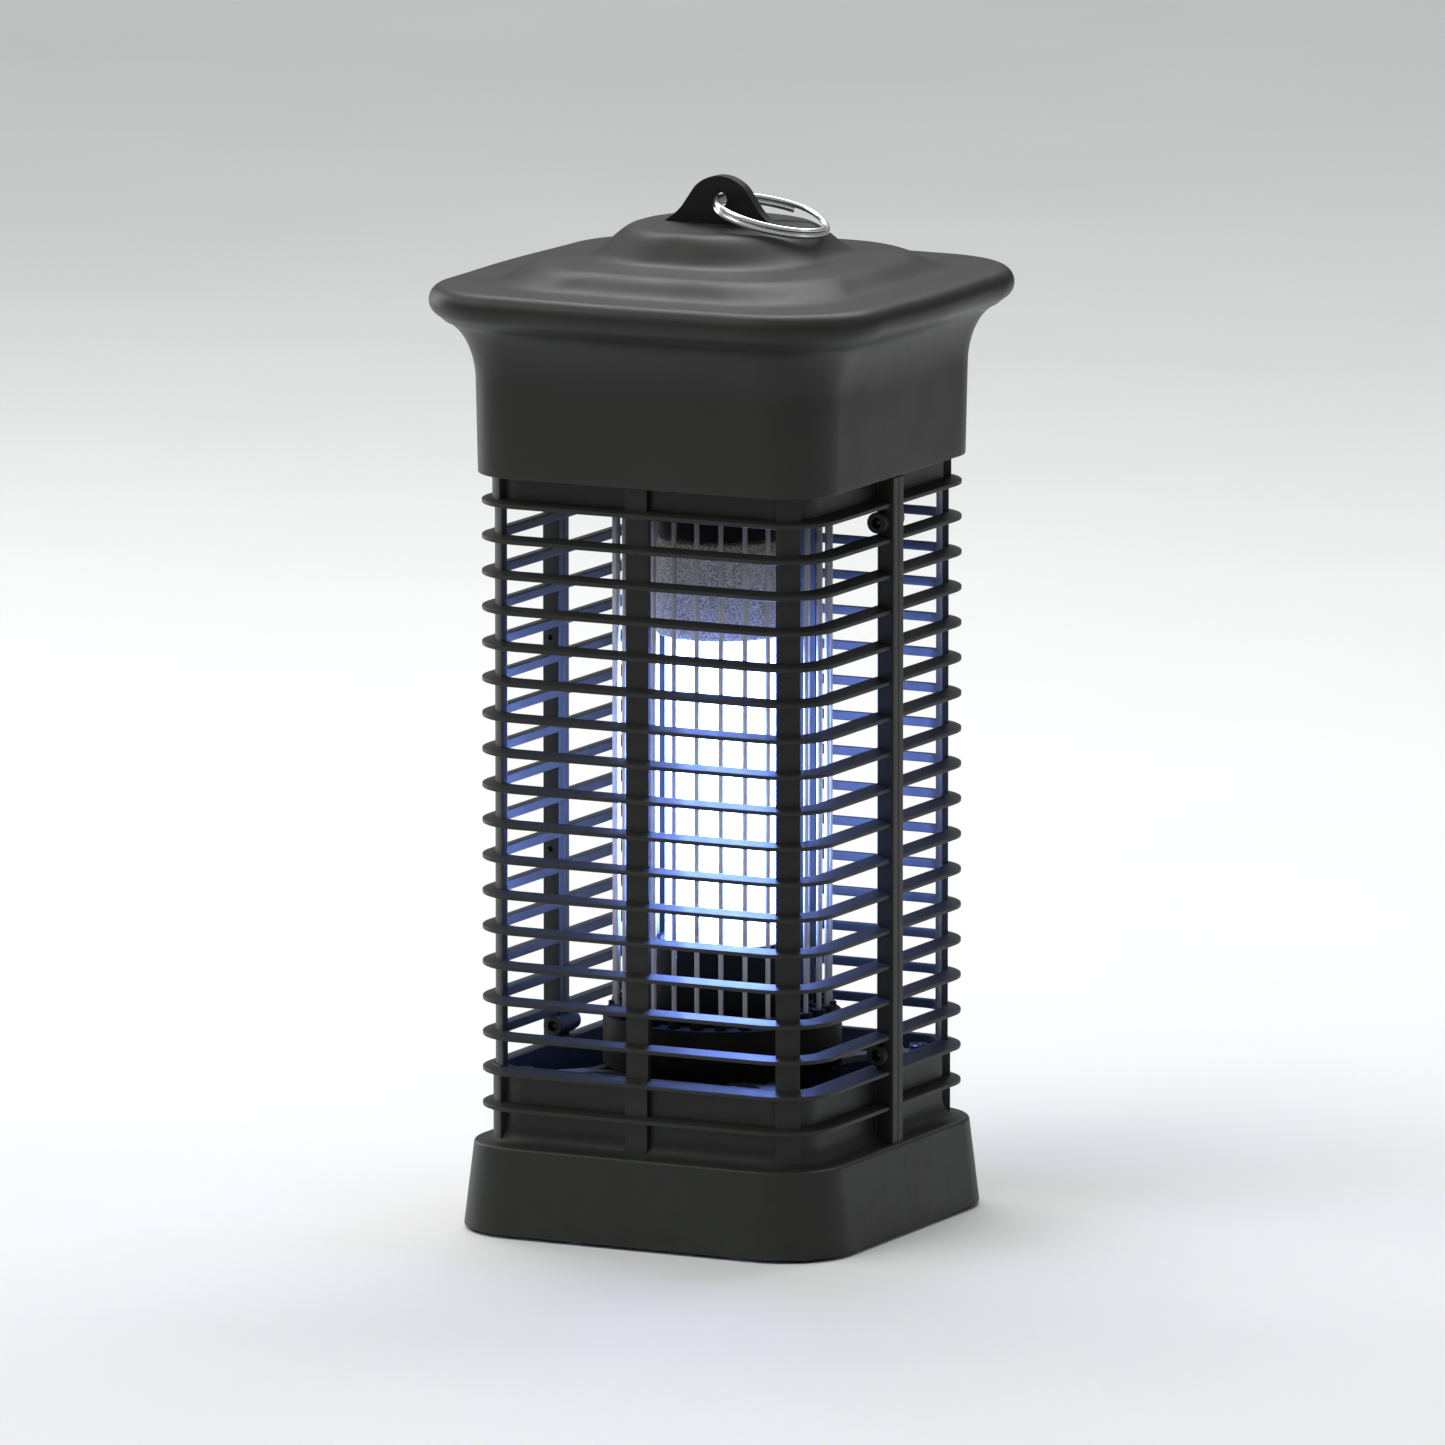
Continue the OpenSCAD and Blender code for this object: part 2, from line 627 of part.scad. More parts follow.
module lamp_housing() {
    color([0.72, 0.72, 0.72]) difference() {
        rotate_extrude($fn = 72) polygon([[envelope_r + 0.6, housing_low], [housing_r - 0.8, housing_low],
            [housing_r, housing_low + 1.2], [housing_r, housing_high - 4],
            [housing_r - 1.5, housing_high - 1], [housing_r - 4, housing_high], [11, housing_high],
            [11, housing_high - 1.6], [housing_r - 4.4, housing_high - 1.6],
            [housing_r - 1.6, housing_high - 4.6], [housing_r - 1.6, housing_low + 4.5],
            [6, housing_low + 4.5], [6, housing_low + 2], [envelope_r + 0.6, housing_low + 2]]);
        for (x = [-tube_at, tube_at], y = [-tube_at, tube_at]) translate([x, y, housing_low + 1])
            cylinder(r = 4.25, h = 5);
    }
}

module lamp_ballast() {
    z = housing_low + 10;
    color([0.2, 0.4, 0.25]) {
        translate([0, 0, z]) cylinder(r = housing_r - 1.8, h = 1.2);
        translate([-9, -5, z + 1.2]) cube([9, 10, 8]);
        translate([7, 5, z + 1.2]) cylinder(r = 4, h = 10);
        translate([7, -6, z + 1.2]) cylinder(r = 3, h = 6);
    }
}

module lamp_cap() {
    pitch = 3.6;
    turns = 5;
    low = housing_high - 2;
    thread = [for (i = [0:turns - 1], p = [[12.3, 0], [13.2, pitch / 2]])
        [p[0], low + 5 + i * pitch + p[1]]];
    color(brass) rotate_extrude($fn = 48) polygon(concat([[9.8, low], [10.9, low], [10.9, low + 2],
        [12.6, low + 2.4]], thread, [[12.3, low + 5 + turns * pitch], [6, low + 27],
        [5.6, low + 26.4], [11.6, low + 4.6 + turns * pitch], [11.6, low + 3.4], [9.8, low + 2.6]]));
}

module lamp_contact() {
    z = housing_high + 25;
    color([0.1, 0.1, 0.1]) translate([0, 0, z - 1.5]) cylinder(r = 5.5, h = 2.5);
    color(steel) translate([0, 0, z + 1]) cylinder(r = 3, h = 1);
}

module lamp_socket() {
    color(plastic_dark) difference() {
        union() {
            translate([0, 0, socket_low]) cylinder(r = 19.5, h = socket_high - socket_low);
            translate([0, 0, plate_top]) cylinder(r = 25, h = 2.6);
        }
        translate([0, 0, socket_low - 1]) cylinder(r = 14.4, h = 29);
        for (y = [-socket_screw_y, socket_screw_y]) translate([0, y, plate_top - 1]) cylinder(r = 1.5, h = 5);
        for (x = [-lamp_lead_x, lamp_lead_x]) translate([x, 0, socket_high - 2]) cylinder(r = lead_hole_r, h = 4);
    }
}

module socket_sleeve() {
    color(brass) difference() {
        translate([0, 0, socket_low + 4]) cylinder(r = 14.4, h = 24);
        translate([0, 0, socket_low + 3]) cylinder(r = 13.5, h = 26);
    }
}

module socket_contact() {
    z = housing_high + 27;
    color(brass) {
        translate([-3, -2.5, z]) cube([6, 5, 0.6]);
        translate([-3, -2.5, z]) cube([0.6, 5, socket_low + 28 - z]);
    }
}

module socket_screws() {
    color(steel) for (y = [-socket_screw_y, socket_screw_y]) translate([0, y, plate_top + 2.6]) mirror([0, 0, 1])
        pan_screw(1.25, 5.4, 2.5, 1.6);
}

// ---- electronics under the roof ----

module circuit_board() {
    color([0.1, 0.35, 0.2]) difference() {
        translate([-37, -31, board_z]) cube([74, 62, board_t]);
        for (x = [-pillar_x, pillar_x], y = [-pillar_y, pillar_y])
            translate([x, y, board_z - 1]) cylinder(r = 1.6, h = 4);
        for (x = [return_lead_x, live_lead_x]) translate([x, 0, board_z - 1]) cylinder(r = lead_hole_r, h = 4);
        for (x = [-lamp_lead_x, lamp_lead_x]) translate([x, 0, board_z - 1]) cylinder(r = lead_hole_r, h = 4);
        board_pins(0.5);
    }
}

// Solder pins of all through-hole parts, also used to drill the board
module board_pins(r) {
    capacitor_pins(r);
    diode_pins(r);
    resistor_pins(r);
}

module pin_pair(x, y, spread, r, top) {
    for (s = [-1, 1]) translate([x + s * spread, y, board_z - 1]) cylinder(r = r, h = top - board_z + 1);
}

module board_pillars() {
    color(brass) for (x = [-pillar_x, pillar_x], y = [-pillar_y, pillar_y])
        translate([x, y, plate_top]) difference() {
            cylinder(r = 3, h = board_z - plate_top, $fn = 6);
            translate([0, 0, -1]) cylinder(r = pilot_r, h = board_z - plate_top + 2);
        }
}

module board_screws() {
    color(steel) for (x = [-pillar_x, pillar_x], y = [-pillar_y, pillar_y]) translate([x, y, 0]) {
        translate([0, 0, plate_z]) pan_screw(1.25, 9, 2.6, 1.6);
        translate([0, 0, board_top]) mirror([0, 0, 1]) pan_screw(1.25, 7, 2.6, 1.6);
    }
}

module transformer_core() {
    color([0.15, 0.15, 0.16]) translate([core_at[0] - 11, core_at[1] - 13, board_top]) difference() {
        cube([22, 26, 20]);
        translate([-1, 4, 4]) cube([24, 6, 12]);
        translate([-1, 16, 4]) cube([24, 6, 12]);
    }
}

module transformer_winding() {
    color([0.75, 0.4, 0.15]) translate([core_at[0], core_at[1], board_top + 4.2]) difference() {
        translate([-14, -8.8, 0]) cube([28, 17.6, 11.6]);
        translate([-15, -3.1, -1]) cube([30, 6.2, 14]);
        translate([-11.1, -10, -1]) cube([22.2, 1.4, 14]);
    }
}

module capacitor_pins(r) {
    for (y = capacitor_y) pin_pair(14, y + capacitor_size[1] / 2, 7, r, board_top + 1);
}

module hv_capacitors() {
    color([0.75, 0.3, 0.1]) {
        for (y = capacitor_y) translate([4, y, board_top + 0.4]) cube(capacitor_size);
        capacitor_pins(0.4);
    }
}

// Axial parts lie on the board with a bent-down pin at each end
module diode_pins(r) {
    for (p = diode_at) pin_pair(p[0], p[1], 2.9, r, board_top + 1.8);
}

module resistor_pins(r) {
    for (p = resistor_at) pin_pair(p[0], p[1], 3.9, r, board_top + 1.8);
}

module axial(at, r, length) {
    translate([at[0] - length / 2, at[1], board_top + 0.5 + r]) rotate([0, 90, 0]) cylinder(r = r, h = length);
}

module diodes() {
    color([0.08, 0.08, 0.08]) {
        for (p = diode_at) axial(p, 1.3, 7);
        diode_pins(0.3);
    }
}

module resistors() {
    color([0.75, 0.65, 0.5]) {
        for (p = resistor_at) axial(p, 1.2, 9);
        resistor_pins(0.3);
    }
}

module fuse() {
    color([0.85, 0.9, 0.9]) translate([fuse_at[0] - 10, fuse_at[1], board_top + 4.6])
        rotate([0, 90, 0]) cylinder(r = 2.4, h = 20);
}

module fuse_clips() {
    color(brass) for (x = [-8.5, 5.5]) translate([fuse_at[0] + x, fuse_at[1], board_top]) difference() {
        translate([0, -3, 0]) cube([3, 6, 6]);
        translate([-1, 0, 4.6]) rotate([0, 90, 0]) cylinder(r = 2.45, h = 5);
        translate([-1, -1.6, 4.6]) cube([5, 3.2, 3]);
    }
}

module terminal_block() {
    color([0.2, 0.45, 0.25]) translate([-2, 22, board_top]) difference() {
        cube([15, 8, 10]);
        for (x = [2.5, 7.5, 12.5]) {
            translate([x, 4, 4]) cylinder(r = 1.6, h = 7);
            translate([x, 9, 3]) rotate([90, 0, 0]) cylinder(r = 1.5, h = 6);
        }
    }
}

module wire(x, low, high) {
    translate([x, 0, low]) cylinder(r = 1, h = high - low);
}

module hv_lead_live() {
    color([0.7, 0.1, 0.1]) wire(live_lead_x, rod_top, board_top + 1);
}

module hv_lead_return() {
    color([0.1, 0.1, 0.1]) wire(return_lead_x, rod_top, board_top + 1);
}

module lamp_leads() {
    color([0.8, 0.8, 0.8]) for (x = [-lamp_lead_x, lamp_lead_x]) wire(x, socket_high - 2, board_top + 1);
}

// ---- cord's way in ----

module cord_gland() {
    wall_y = skirt_half + 0.9;
    color(plastic_dark) translate([0, 0, gland_z]) difference() {
        union() {
            along_y(8.5, wall_y, wall_y + 3);
            along_y(6.6, wall_y + 2.5, wall_y + 7);
            along_y(gland_hole_r - 0.15, 47, wall_y + 1);
        }
        along_y(cord_bore_r, 46, wall_y + 8);
    }
}

module gland_nut() {
    color(plastic_dark) translate([0, 0, gland_z]) difference() {
        translate([0, skirt_half - wall - 0.2, 0]) rotate([90, 30, 0]) cylinder(r = 9, h = 4.5, $fn = 6);
        along_y(gland_hole_r - 0.1, 40, 60);
    }
}

// ---- catch tray and feet ----

module insect_tray() {
    color(plastic) difference() {
        slab(tray_half, tray_low, tray_high - tray_low);
        slab(tray_half - tray_wall, tray_low + 1.6, 30);
        // Finger grips under the floor
        for (s = [0, 180]) rotate([0, 0, s]) translate([-11, 30, tray_low - 1]) cube([22, 12, 2]);
    }
}

// Leaf of spring steel that presses on the tray, screwed to a pad of each half
module tray_clips() {
    pad_y = base_half - 6.5;
    color(steel) for (a = [0, 180]) rotate([0, 0, a]) difference() {
        translate([-5, 0, 0]) rotate([90, 0, 90]) linear_extrude(10)
            polygon([[pad_y - 0.6, 19.5], [pad_y - 0.6, 13.6], [tray_half + 0.4, 9.4], [tray_half + 1.6, 6],
                [tray_half + 2.2, 6.1], [tray_half + 1.1, 9.5], [pad_y, 13.2], [pad_y, 19.5]]);
        translate([0, 0, clip_screw_z]) along_y(1, 50, 60);
    }
    color(steel) for (a = [0, 180]) rotate([0, 0, a]) translate([0, 0, clip_screw_z]) along_y(0.85, pad_y - 1.6, pad_y + 2);
}

module rubber_feet() {
    color([0.05, 0.05, 0.05]) at_diagonals(foot_at) {
        cylinder(r = 4.4, h = foot_h);
        cylinder(r = 1.95, h = foot_h + 5);
    }
}

roof_cap();
hanging_lug();
lug_clamp_plate();
lug_screws();
split_ring();
front_shell();
rear_shell();
shell_screws();
chassis_plate();
roof_screws();
grid_top_insulator();
insulator_screws();
bus_ring_live();
bus_ring_return();
grid_rods_live();
grid_rods_return();
grid_base();
base_brackets();
bracket_screws();
lamp_envelope();
lamp_tubes();
lamp_housing();
lamp_ballast();
lamp_cap();
lamp_contact();
lamp_socket();
socket_sleeve();
socket_contact();
socket_screws();
circuit_board();
board_pillars();
board_screws();
transformer_core();
transformer_winding();
hv_capacitors();
diodes();
resistors();
fuse();
fuse_clips();
terminal_block();
hv_lead_live();
hv_lead_return();
lamp_leads();
cord_gland();
gland_nut();
insect_tray();
tray_clips();
rubber_feet();
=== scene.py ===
"""Looks of an electric bug zapper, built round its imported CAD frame."""
import json
import math

import bmesh
import bpy
from mathutils import Matrix, Vector

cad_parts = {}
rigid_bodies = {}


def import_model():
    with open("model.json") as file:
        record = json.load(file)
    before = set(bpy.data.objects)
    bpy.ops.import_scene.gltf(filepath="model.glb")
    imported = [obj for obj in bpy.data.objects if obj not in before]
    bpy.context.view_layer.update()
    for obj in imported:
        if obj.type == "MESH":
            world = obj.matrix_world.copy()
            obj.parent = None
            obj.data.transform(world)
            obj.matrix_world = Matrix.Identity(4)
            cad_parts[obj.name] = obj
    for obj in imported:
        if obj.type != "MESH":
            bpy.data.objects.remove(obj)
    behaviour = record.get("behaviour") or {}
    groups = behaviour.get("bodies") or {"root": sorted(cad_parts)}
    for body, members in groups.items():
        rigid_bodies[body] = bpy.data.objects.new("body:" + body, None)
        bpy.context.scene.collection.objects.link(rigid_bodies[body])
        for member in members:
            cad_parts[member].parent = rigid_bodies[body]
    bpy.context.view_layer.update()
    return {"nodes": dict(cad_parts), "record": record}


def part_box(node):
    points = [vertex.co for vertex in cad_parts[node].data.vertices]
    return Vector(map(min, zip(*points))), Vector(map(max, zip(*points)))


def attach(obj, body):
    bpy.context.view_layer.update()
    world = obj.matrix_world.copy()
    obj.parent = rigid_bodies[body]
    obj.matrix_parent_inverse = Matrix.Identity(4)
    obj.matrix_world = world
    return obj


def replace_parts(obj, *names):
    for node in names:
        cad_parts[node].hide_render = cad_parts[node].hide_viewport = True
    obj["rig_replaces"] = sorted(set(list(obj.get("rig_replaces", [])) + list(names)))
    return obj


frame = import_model()
MM = 0.001

# ---- camera, floor and light ----

# The camera's place in degrees round and above the object, and its distance in metres from AIM
AZIMUTH = 26.6
ELEVATION = 9.6
DISTANCE = 6.02
AIM = Vector((0, 0, 0.1504))
LENS_MM = 500
SENSOR_MM = 36
FAR_CLIP = 100
SOFTBOX_AIM = (0, 0, 0.15)
SUN_AIM = (0, 0, 0)
SUN_DISTANCE = 3


def around(azimuth, elevation, distance):
    """A place round the object, with azimuth 0 in front and 90 to the right."""
    a = math.radians(azimuth)
    e = math.radians(elevation)
    direction = Vector((math.sin(a) * math.cos(e), -math.cos(a) * math.cos(e), math.sin(e)))
    return direction * distance


def aim(obj, place, target):
    """Puts a camera or a light at a place and turns it to a target."""
    obj.location = place
    obj.rotation_mode = "QUATERNION"
    obj.rotation_quaternion = (Vector(target) - Vector(place)).to_track_quat("-Z", "Y")
    bpy.context.scene.collection.objects.link(obj)


camera_data = bpy.data.cameras.new("camera")
camera_data.lens = LENS_MM
camera_data.sensor_width = SENSOR_MM
camera_data.clip_end = FAR_CLIP
camera = bpy.data.objects.new("camera", camera_data)
aim(camera, AIM + around(AZIMUTH, ELEVATION, DISTANCE), AIM)
bpy.context.scene.camera = camera


def softbox(name, azimuth, elevation, distance, size, power):
    """A rectangular area light, with its size in metres and its power in watts."""
    data = bpy.data.lights.new(name, "AREA")
    data.shape = "RECTANGLE"
    data.size, data.size_y = size
    data.energy = power
    light = bpy.data.objects.new(name, data)
    aim(light, around(azimuth, elevation, distance), SOFTBOX_AIM)


def sun(name, azimuth, elevation, power, spread):
    """A broad sun without highlights, with its spread in degrees."""
    data = bpy.data.lights.new(name, "SUN")
    data.energy = power
    data.angle = math.radians(spread)
    light = bpy.data.objects.new(name, data)
    light.visible_glossy = False
    aim(light, around(azimuth, elevation, SUN_DISTANCE), SUN_AIM)


sun("fill", azimuth=-20, elevation=58, power=1.2, spread=30)
sun("front", azimuth=-25, elevation=20, power=0.5, spread=60)
softbox("key", azimuth=-60, elevation=50, distance=1.7, size=(0.7, 0.7), power=5)
softbox("side", azimuth=100, elevation=25, distance=1.8, size=(0.5, 1.0), power=1)
softbox("rim", azimuth=-110, elevation=18, distance=1.8, size=(0.5, 1.0), power=7)
softbox("back", azimuth=200, elevation=60, distance=1.8, size=(1.6, 0.7), power=21)

WORLD_COLOUR = (0.86, 0.88, 0.9, 1)
# Brightness over the height of the view direction, from the horizon up
WORLD_LEVEL = {"From Min": 0.0, "From Max": 0.8, "To Min": 0.06, "To Max": 0.6}


def studio_world():
    """A pale ceiling over walls that darken towards the floor."""
    world = bpy.data.worlds.new("studio")
    world.use_nodes = True
    tree = world.node_tree
    background = tree.nodes["Background"]
    background.inputs["Color"].default_value = WORLD_COLOUR
    height = tree.nodes.new("ShaderNodeSeparateXYZ")
    direction = tree.nodes.new("ShaderNodeTexCoord").outputs["Generated"]
    tree.links.new(direction, height.inputs[0])
    level = tree.nodes.new("ShaderNodeMapRange")
    for socket, value in WORLD_LEVEL.items():
        level.inputs[socket].default_value = value
    tree.links.new(height.outputs["Z"], level.inputs["Value"])
    tree.links.new(level.outputs["Result"], background.inputs["Strength"])
    return world


bpy.context.scene.world = studio_world()
bpy.context.scene.view_settings.view_transform = "Standard"

# ---- materials; sizes and depths of their patterns are in millimetres ----

CLOUD_MM = 24.0
GRAIN_MM = 0.55
SPECKLE_MM = 0.6
RUB_MM = 5.0
DUST_MM = 1.1
SHEEN_MM = 14.0
STREAK_MM = 0.8
STAIN_MM = 9.0
FINE_MM = 0.6
DUST_COLOUR = (0.1, 0.1, 0.095)
RUBBED_GAIN = 2.6


class Shader:
    """A node material round one Principled shader, in object coordinates."""

    def __init__(self, name):
        self.material = bpy.data.materials.new(name)
        self.material.use_nodes = True
        self.tree = self.material.node_tree
        self.bsdf = self.tree.nodes["Principled BSDF"]
        self.coords = self.node("ShaderNodeTexCoord").outputs["Object"]

    def node(self, kind, links=None, **values):
        """A node with its properties in values, and a source or a value for each socket in links."""
        n = self.tree.nodes.new(kind)
        for key, value in values.items():
            setattr(n, key, value)
        for socket, source in (links or {}).items():
            if isinstance(source, bpy.types.NodeSocket):
                self.tree.links.new(source, n.inputs[socket])
            else:
                n.inputs[socket].default_value = source
        return n

    def set(self, **values):
        for name, value in values.items():
            self.bsdf.inputs[name.replace("_", " ")].default_value = value

    def feed(self, socket, source):
        self.tree.links.new(source, self.bsdf.inputs[socket])

    def stretched(self, scale):
        links = {"Vector": self.coords, "Scale": scale}
        return self.node("ShaderNodeMapping", links).outputs["Vector"]

    def noise(self, size_mm, detail=3, vector=None, rough=0.55):
        links = {"Vector": vector or self.coords, "Scale": 1000 / size_mm, "Detail": detail,
                 "Roughness": rough}
        return self.node("ShaderNodeTexNoise", links).outputs["Fac"]

    def ramp(self, source, low, high, a=0.0, b=1.0):
        """The source's range from low to high, spread over a to b and held beyond them."""
        links = {"Value": source, "From Min": low, "From Max": high, "To Min": a, "To Max": b}
        return self.node("ShaderNodeMapRange", links).outputs["Result"]

    def mix(self, factor, a, b):
        """Two colours, each of them a source or a constant, mixed by a factor."""
        n = self.node("ShaderNodeMix", {0: factor}, data_type="RGBA")
        for index, colour in ((6, a), (7, b)):
            if isinstance(colour, bpy.types.NodeSocket):
                self.tree.links.new(colour, n.inputs[index])
            else:
                n.inputs[index].default_value = (*colour, 1)
        return n.outputs[2]

    def maths(self, operation, a, b):
        return self.node("ShaderNodeMath", {0: a, 1: b}, operation=operation).outputs[0]

    def bump(self, layers):
        """Bumps laid over one another, from a list of (height source, depth in mm)."""
        normal = None
        for height, depth in layers:
            links = {"Height": height, "Distance": depth * MM, "Strength": 1.0}
            if normal:
                links["Normal"] = normal
            normal = self.node("ShaderNodeBump", links).outputs["Normal"]
        self.feed("Normal", normal)


def scaled(colour, factor):
    return tuple(c * factor for c in colour)


def plastic(name, colour, rough=(0.42, 0.48), grain=0.01, wear=0.35, dust=0.12, specular=0.3,
            speckle=0.0):
    """Moulded plastic: fine spark-eroded grain, flow clouds, paler rubbed edges and a little dust.
    Wear, dust and speckle are shares from 0 to 1."""
    s = Shader(name)
    clouds = s.noise(CLOUD_MM, 4)
    fine = s.noise(GRAIN_MM, 2)
    body = s.mix(s.ramp(clouds, 0.35, 0.7), scaled(colour, 0.95), scaled(colour, 1.05))
    if speckle:
        spots = s.ramp(s.noise(SPECKLE_MM, 2), 0.39, 0.61, 0, speckle)
        body = s.mix(spots, body, scaled(colour, 0.2))
    edge = s.node("ShaderNodeNewGeometry").outputs["Pointiness"]
    on_edge = s.ramp(edge, 0.52, 0.6)
    rubbed = s.ramp(s.noise(RUB_MM, 4), 0.4, 0.62, 0, wear)
    body = s.mix(s.maths("MULTIPLY", on_edge, rubbed), body, scaled(colour, RUBBED_GAIN))
    normal = s.node("ShaderNodeNewGeometry").outputs["Normal"]
    up = s.node("ShaderNodeSeparateXYZ", {0: normal}).outputs["Z"]
    on_top = s.ramp(up, 0.55, 1.0)
    flecks = s.ramp(s.noise(DUST_MM, 5, rough=0.75), 0.58, 0.8, 0, dust)
    body = s.mix(s.maths("MULTIPLY", on_top, flecks), body, DUST_COLOUR)
    s.feed("Base Color", body)
    s.feed("Roughness", s.ramp(s.noise(SHEEN_MM, 3), 0.3, 0.7, *rough))
    s.set(Specular_IOR_Level=specular)
    s.bump([(fine, grain)])
    return s.material


def metal(name, colour, rough=(0.22, 0.4), grain=0.004, along=None, stain=0.15, metallic=1.0):
    """Metal with faint stains and streaks; along scales the axes, and a small value draws them out."""
    s = Shader(name)
    vector = s.stretched(along) if along else None
    streak = s.noise(STREAK_MM, 4, vector)
    stains = s.ramp(s.noise(STAIN_MM, 5), 0.5, 0.75, 0, stain)
    s.feed("Base Color", s.mix(stains, colour, scaled(colour, 0.55)))
    s.feed("Roughness", s.ramp(streak, 0.3, 0.7, *rough))
    s.set(Metallic=metallic)
    if grain:
        s.bump([(streak, grain)])
    return s.material


def banded(name, colour_a, colour_b, pitch_mm, axis, rough=0.5, sharp=(0.45, 0.55), depth=0.05):
    """Stripes across one axis: windings, tracks or colour rings."""
    s = Shader(name)
    # The wave node counts ten radians for each unit of its scale
    links = {"Vector": s.coords, "Scale": 1000 / pitch_mm * math.pi / 10, "Distortion": 0.4,
             "Detail": 1.0}
    bands = s.node("ShaderNodeTexWave", links, wave_type="BANDS", bands_direction=axis)
    wave = bands.outputs["Fac"]
    s.feed("Base Color", s.mix(s.ramp(wave, *sharp), colour_a, colour_b))
    s.feed("Roughness", s.ramp(s.noise(3, 4), 0.3, 0.7, rough - 0.1, rough + 0.1))
    s.bump([(wave, depth), (s.noise(0.4, 2), 0.01)])
    return s.material


def mottled(name, colour_a, colour_b, size_mm, rough=(0.35, 0.5), grain=0.01, coat=0.0,
            transmission=0.0):
    """Two tones in soft patches, for boards, ferrite, rubber, glass and lacquer."""
    s = Shader(name)
    patches = s.noise(size_mm, 5)
    s.feed("Base Color", s.mix(s.ramp(patches, 0.38, 0.66), colour_a, colour_b))
    s.feed("Roughness", s.ramp(s.noise(size_mm * 0.4, 4), 0.3, 0.7, *rough))
    s.set(Coat_Weight=coat, Transmission_Weight=transmission)
    s.bump([(s.noise(FINE_MM, 2), grain)])
    return s.material


def glowing(name, colour, strength):
    """Frosted lamp glass lit from inside, dimmer over a short stretch at each end."""
    s = Shader(name)
    low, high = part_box("lamp_envelope")
    z = s.node("ShaderNodeSeparateXYZ", {0: s.coords}).outputs["Z"]
    bottom = s.ramp(z, low.z, low.z + 12 * MM, 0.35, 1)
    top = s.ramp(z, high.z, high.z - 6 * MM, 0.6, 1)
    cloud = s.ramp(s.noise(SHEEN_MM, 3), 0.3, 0.7, 0.94, 1.06)
    level = s.maths("MULTIPLY", s.maths("MULTIPLY", bottom, top), cloud)
    s.set(Base_Color=(0.75, 0.82, 0.95, 1), Roughness=0.35, Emission_Color=(*colour, 1))
    s.feed("Emission Strength", s.maths("MULTIPLY", level, strength))
    s.bump([(s.noise(0.5, 2), 0.006)])
    return s.material


MATERIALS = {
    "housing_plastic": plastic("housing_plastic", (0.0165, 0.0178, 0.0152)),
    "lug_plastic": plastic("lug_plastic", (0.0045, 0.0045, 0.0045), rough=(0.4, 0.52), wear=0.3,
                           dust=0.1),
    # Black insulator plastic, partly its own colour and partly painted shade: made darker than the
    # plastic is, so the lamp's light on the parts round the lamp stays dim
    "insulator_plastic": plastic("insulator_plastic", (0.0032, 0.0032, 0.0032), rough=(0.5, 0.6),
                                 dust=0.1, specular=0.15),
    "lamp_plastic": plastic("lamp_plastic", (0.72, 0.7, 0.62), rough=(0.5, 0.62), grain=0.05,
                            wear=0.1, dust=0.0, speckle=0.8),
    "ring_chrome": metal("ring_chrome", (0.88, 0.88, 0.88), rough=(0.2, 0.22), grain=0.0,
                         stain=0.05),
    "grid_steel": metal("grid_steel", (0.86, 0.86, 0.9), rough=(0.4, 0.5), along=(1, 1, 0.06),
                        metallic=0.3),
    "screw_steel": metal("screw_steel", (0.09, 0.09, 0.1), rough=(0.38, 0.5)),
    # Bracket steel, darker than the bare steel's own grey as painted shade, so the brackets stay dim
    # inside the base
    "bracket_steel": metal("bracket_steel", (0.26, 0.26, 0.25), rough=(0.5, 0.62),
                           along=(0.1, 1, 1)),
    "spring_steel": metal("spring_steel", (0.5, 0.51, 0.53), rough=(0.2, 0.35), along=(1, 1, 0.1)),
    "brass": metal("brass", (0.72, 0.53, 0.24), rough=(0.25, 0.4), stain=0.4),
    "lamp_glass": glowing("lamp_glass", (0.19, 0.31, 0.98), 34),
    "tube_glass": mottled("tube_glass", (0.75, 0.78, 0.85), (0.68, 0.72, 0.8), 9,
                          rough=(0.3, 0.4)),
    "board": mottled("board", (0.01, 0.09, 0.035), (0.014, 0.13, 0.05), 6, rough=(0.3, 0.4),
                     coat=0.3),
    "ferrite": mottled("ferrite", (0.03, 0.03, 0.034), (0.05, 0.05, 0.055), 2, rough=(0.55, 0.7),
                       grain=0.03),
    "copper": banded("copper", (0.45, 0.17, 0.07), (0.2, 0.06, 0.02), 0.5, "X", rough=0.3),
    "capacitor": mottled("capacitor", (0.42, 0.08, 0.015), (0.5, 0.11, 0.02), 8,
                         rough=(0.15, 0.25), coat=0.5),
    "diode": banded("diode", (0.012, 0.012, 0.012), (0.02, 0.02, 0.02), 2.0, "X", depth=0.01),
    "resistor": banded("resistor", (0.5, 0.36, 0.2), (0.2, 0.05, 0.03), 1.8, "X",
                       sharp=(0.7, 0.8), depth=0.01),
    "fuse_glass": mottled("fuse_glass", (0.8, 0.86, 0.86), (0.72, 0.8, 0.8), 5,
                          rough=(0.05, 0.12), transmission=0.85),
    "terminal": plastic("terminal", (0.02, 0.12, 0.05), rough=(0.4, 0.5)),
    "wire_red": mottled("wire_red", (0.32, 0.012, 0.01), (0.25, 0.008, 0.008), 3,
                        rough=(0.4, 0.5)),
    "wire_black": mottled("wire_black", (0.012, 0.012, 0.012), (0.02, 0.02, 0.02), 3,
                          rough=(0.4, 0.5)),
    "wire_white": mottled("wire_white", (0.55, 0.55, 0.53), (0.48, 0.48, 0.46), 3,
                          rough=(0.4, 0.5)),
    "foot_rubber": mottled("foot_rubber", (0.012, 0.012, 0.012), (0.022, 0.021, 0.02), 4,
                           rough=(0.7, 0.85), grain=0.04),
}
SLOT_OF = {part["node"]: part["material_slot"] for part in frame["record"]["subparts"]}


def paint(obj, slot):
    obj.data.materials.clear()
    obj.data.materials.append(MATERIALS[slot])


# ---- mesh tools, all in millimetres ----

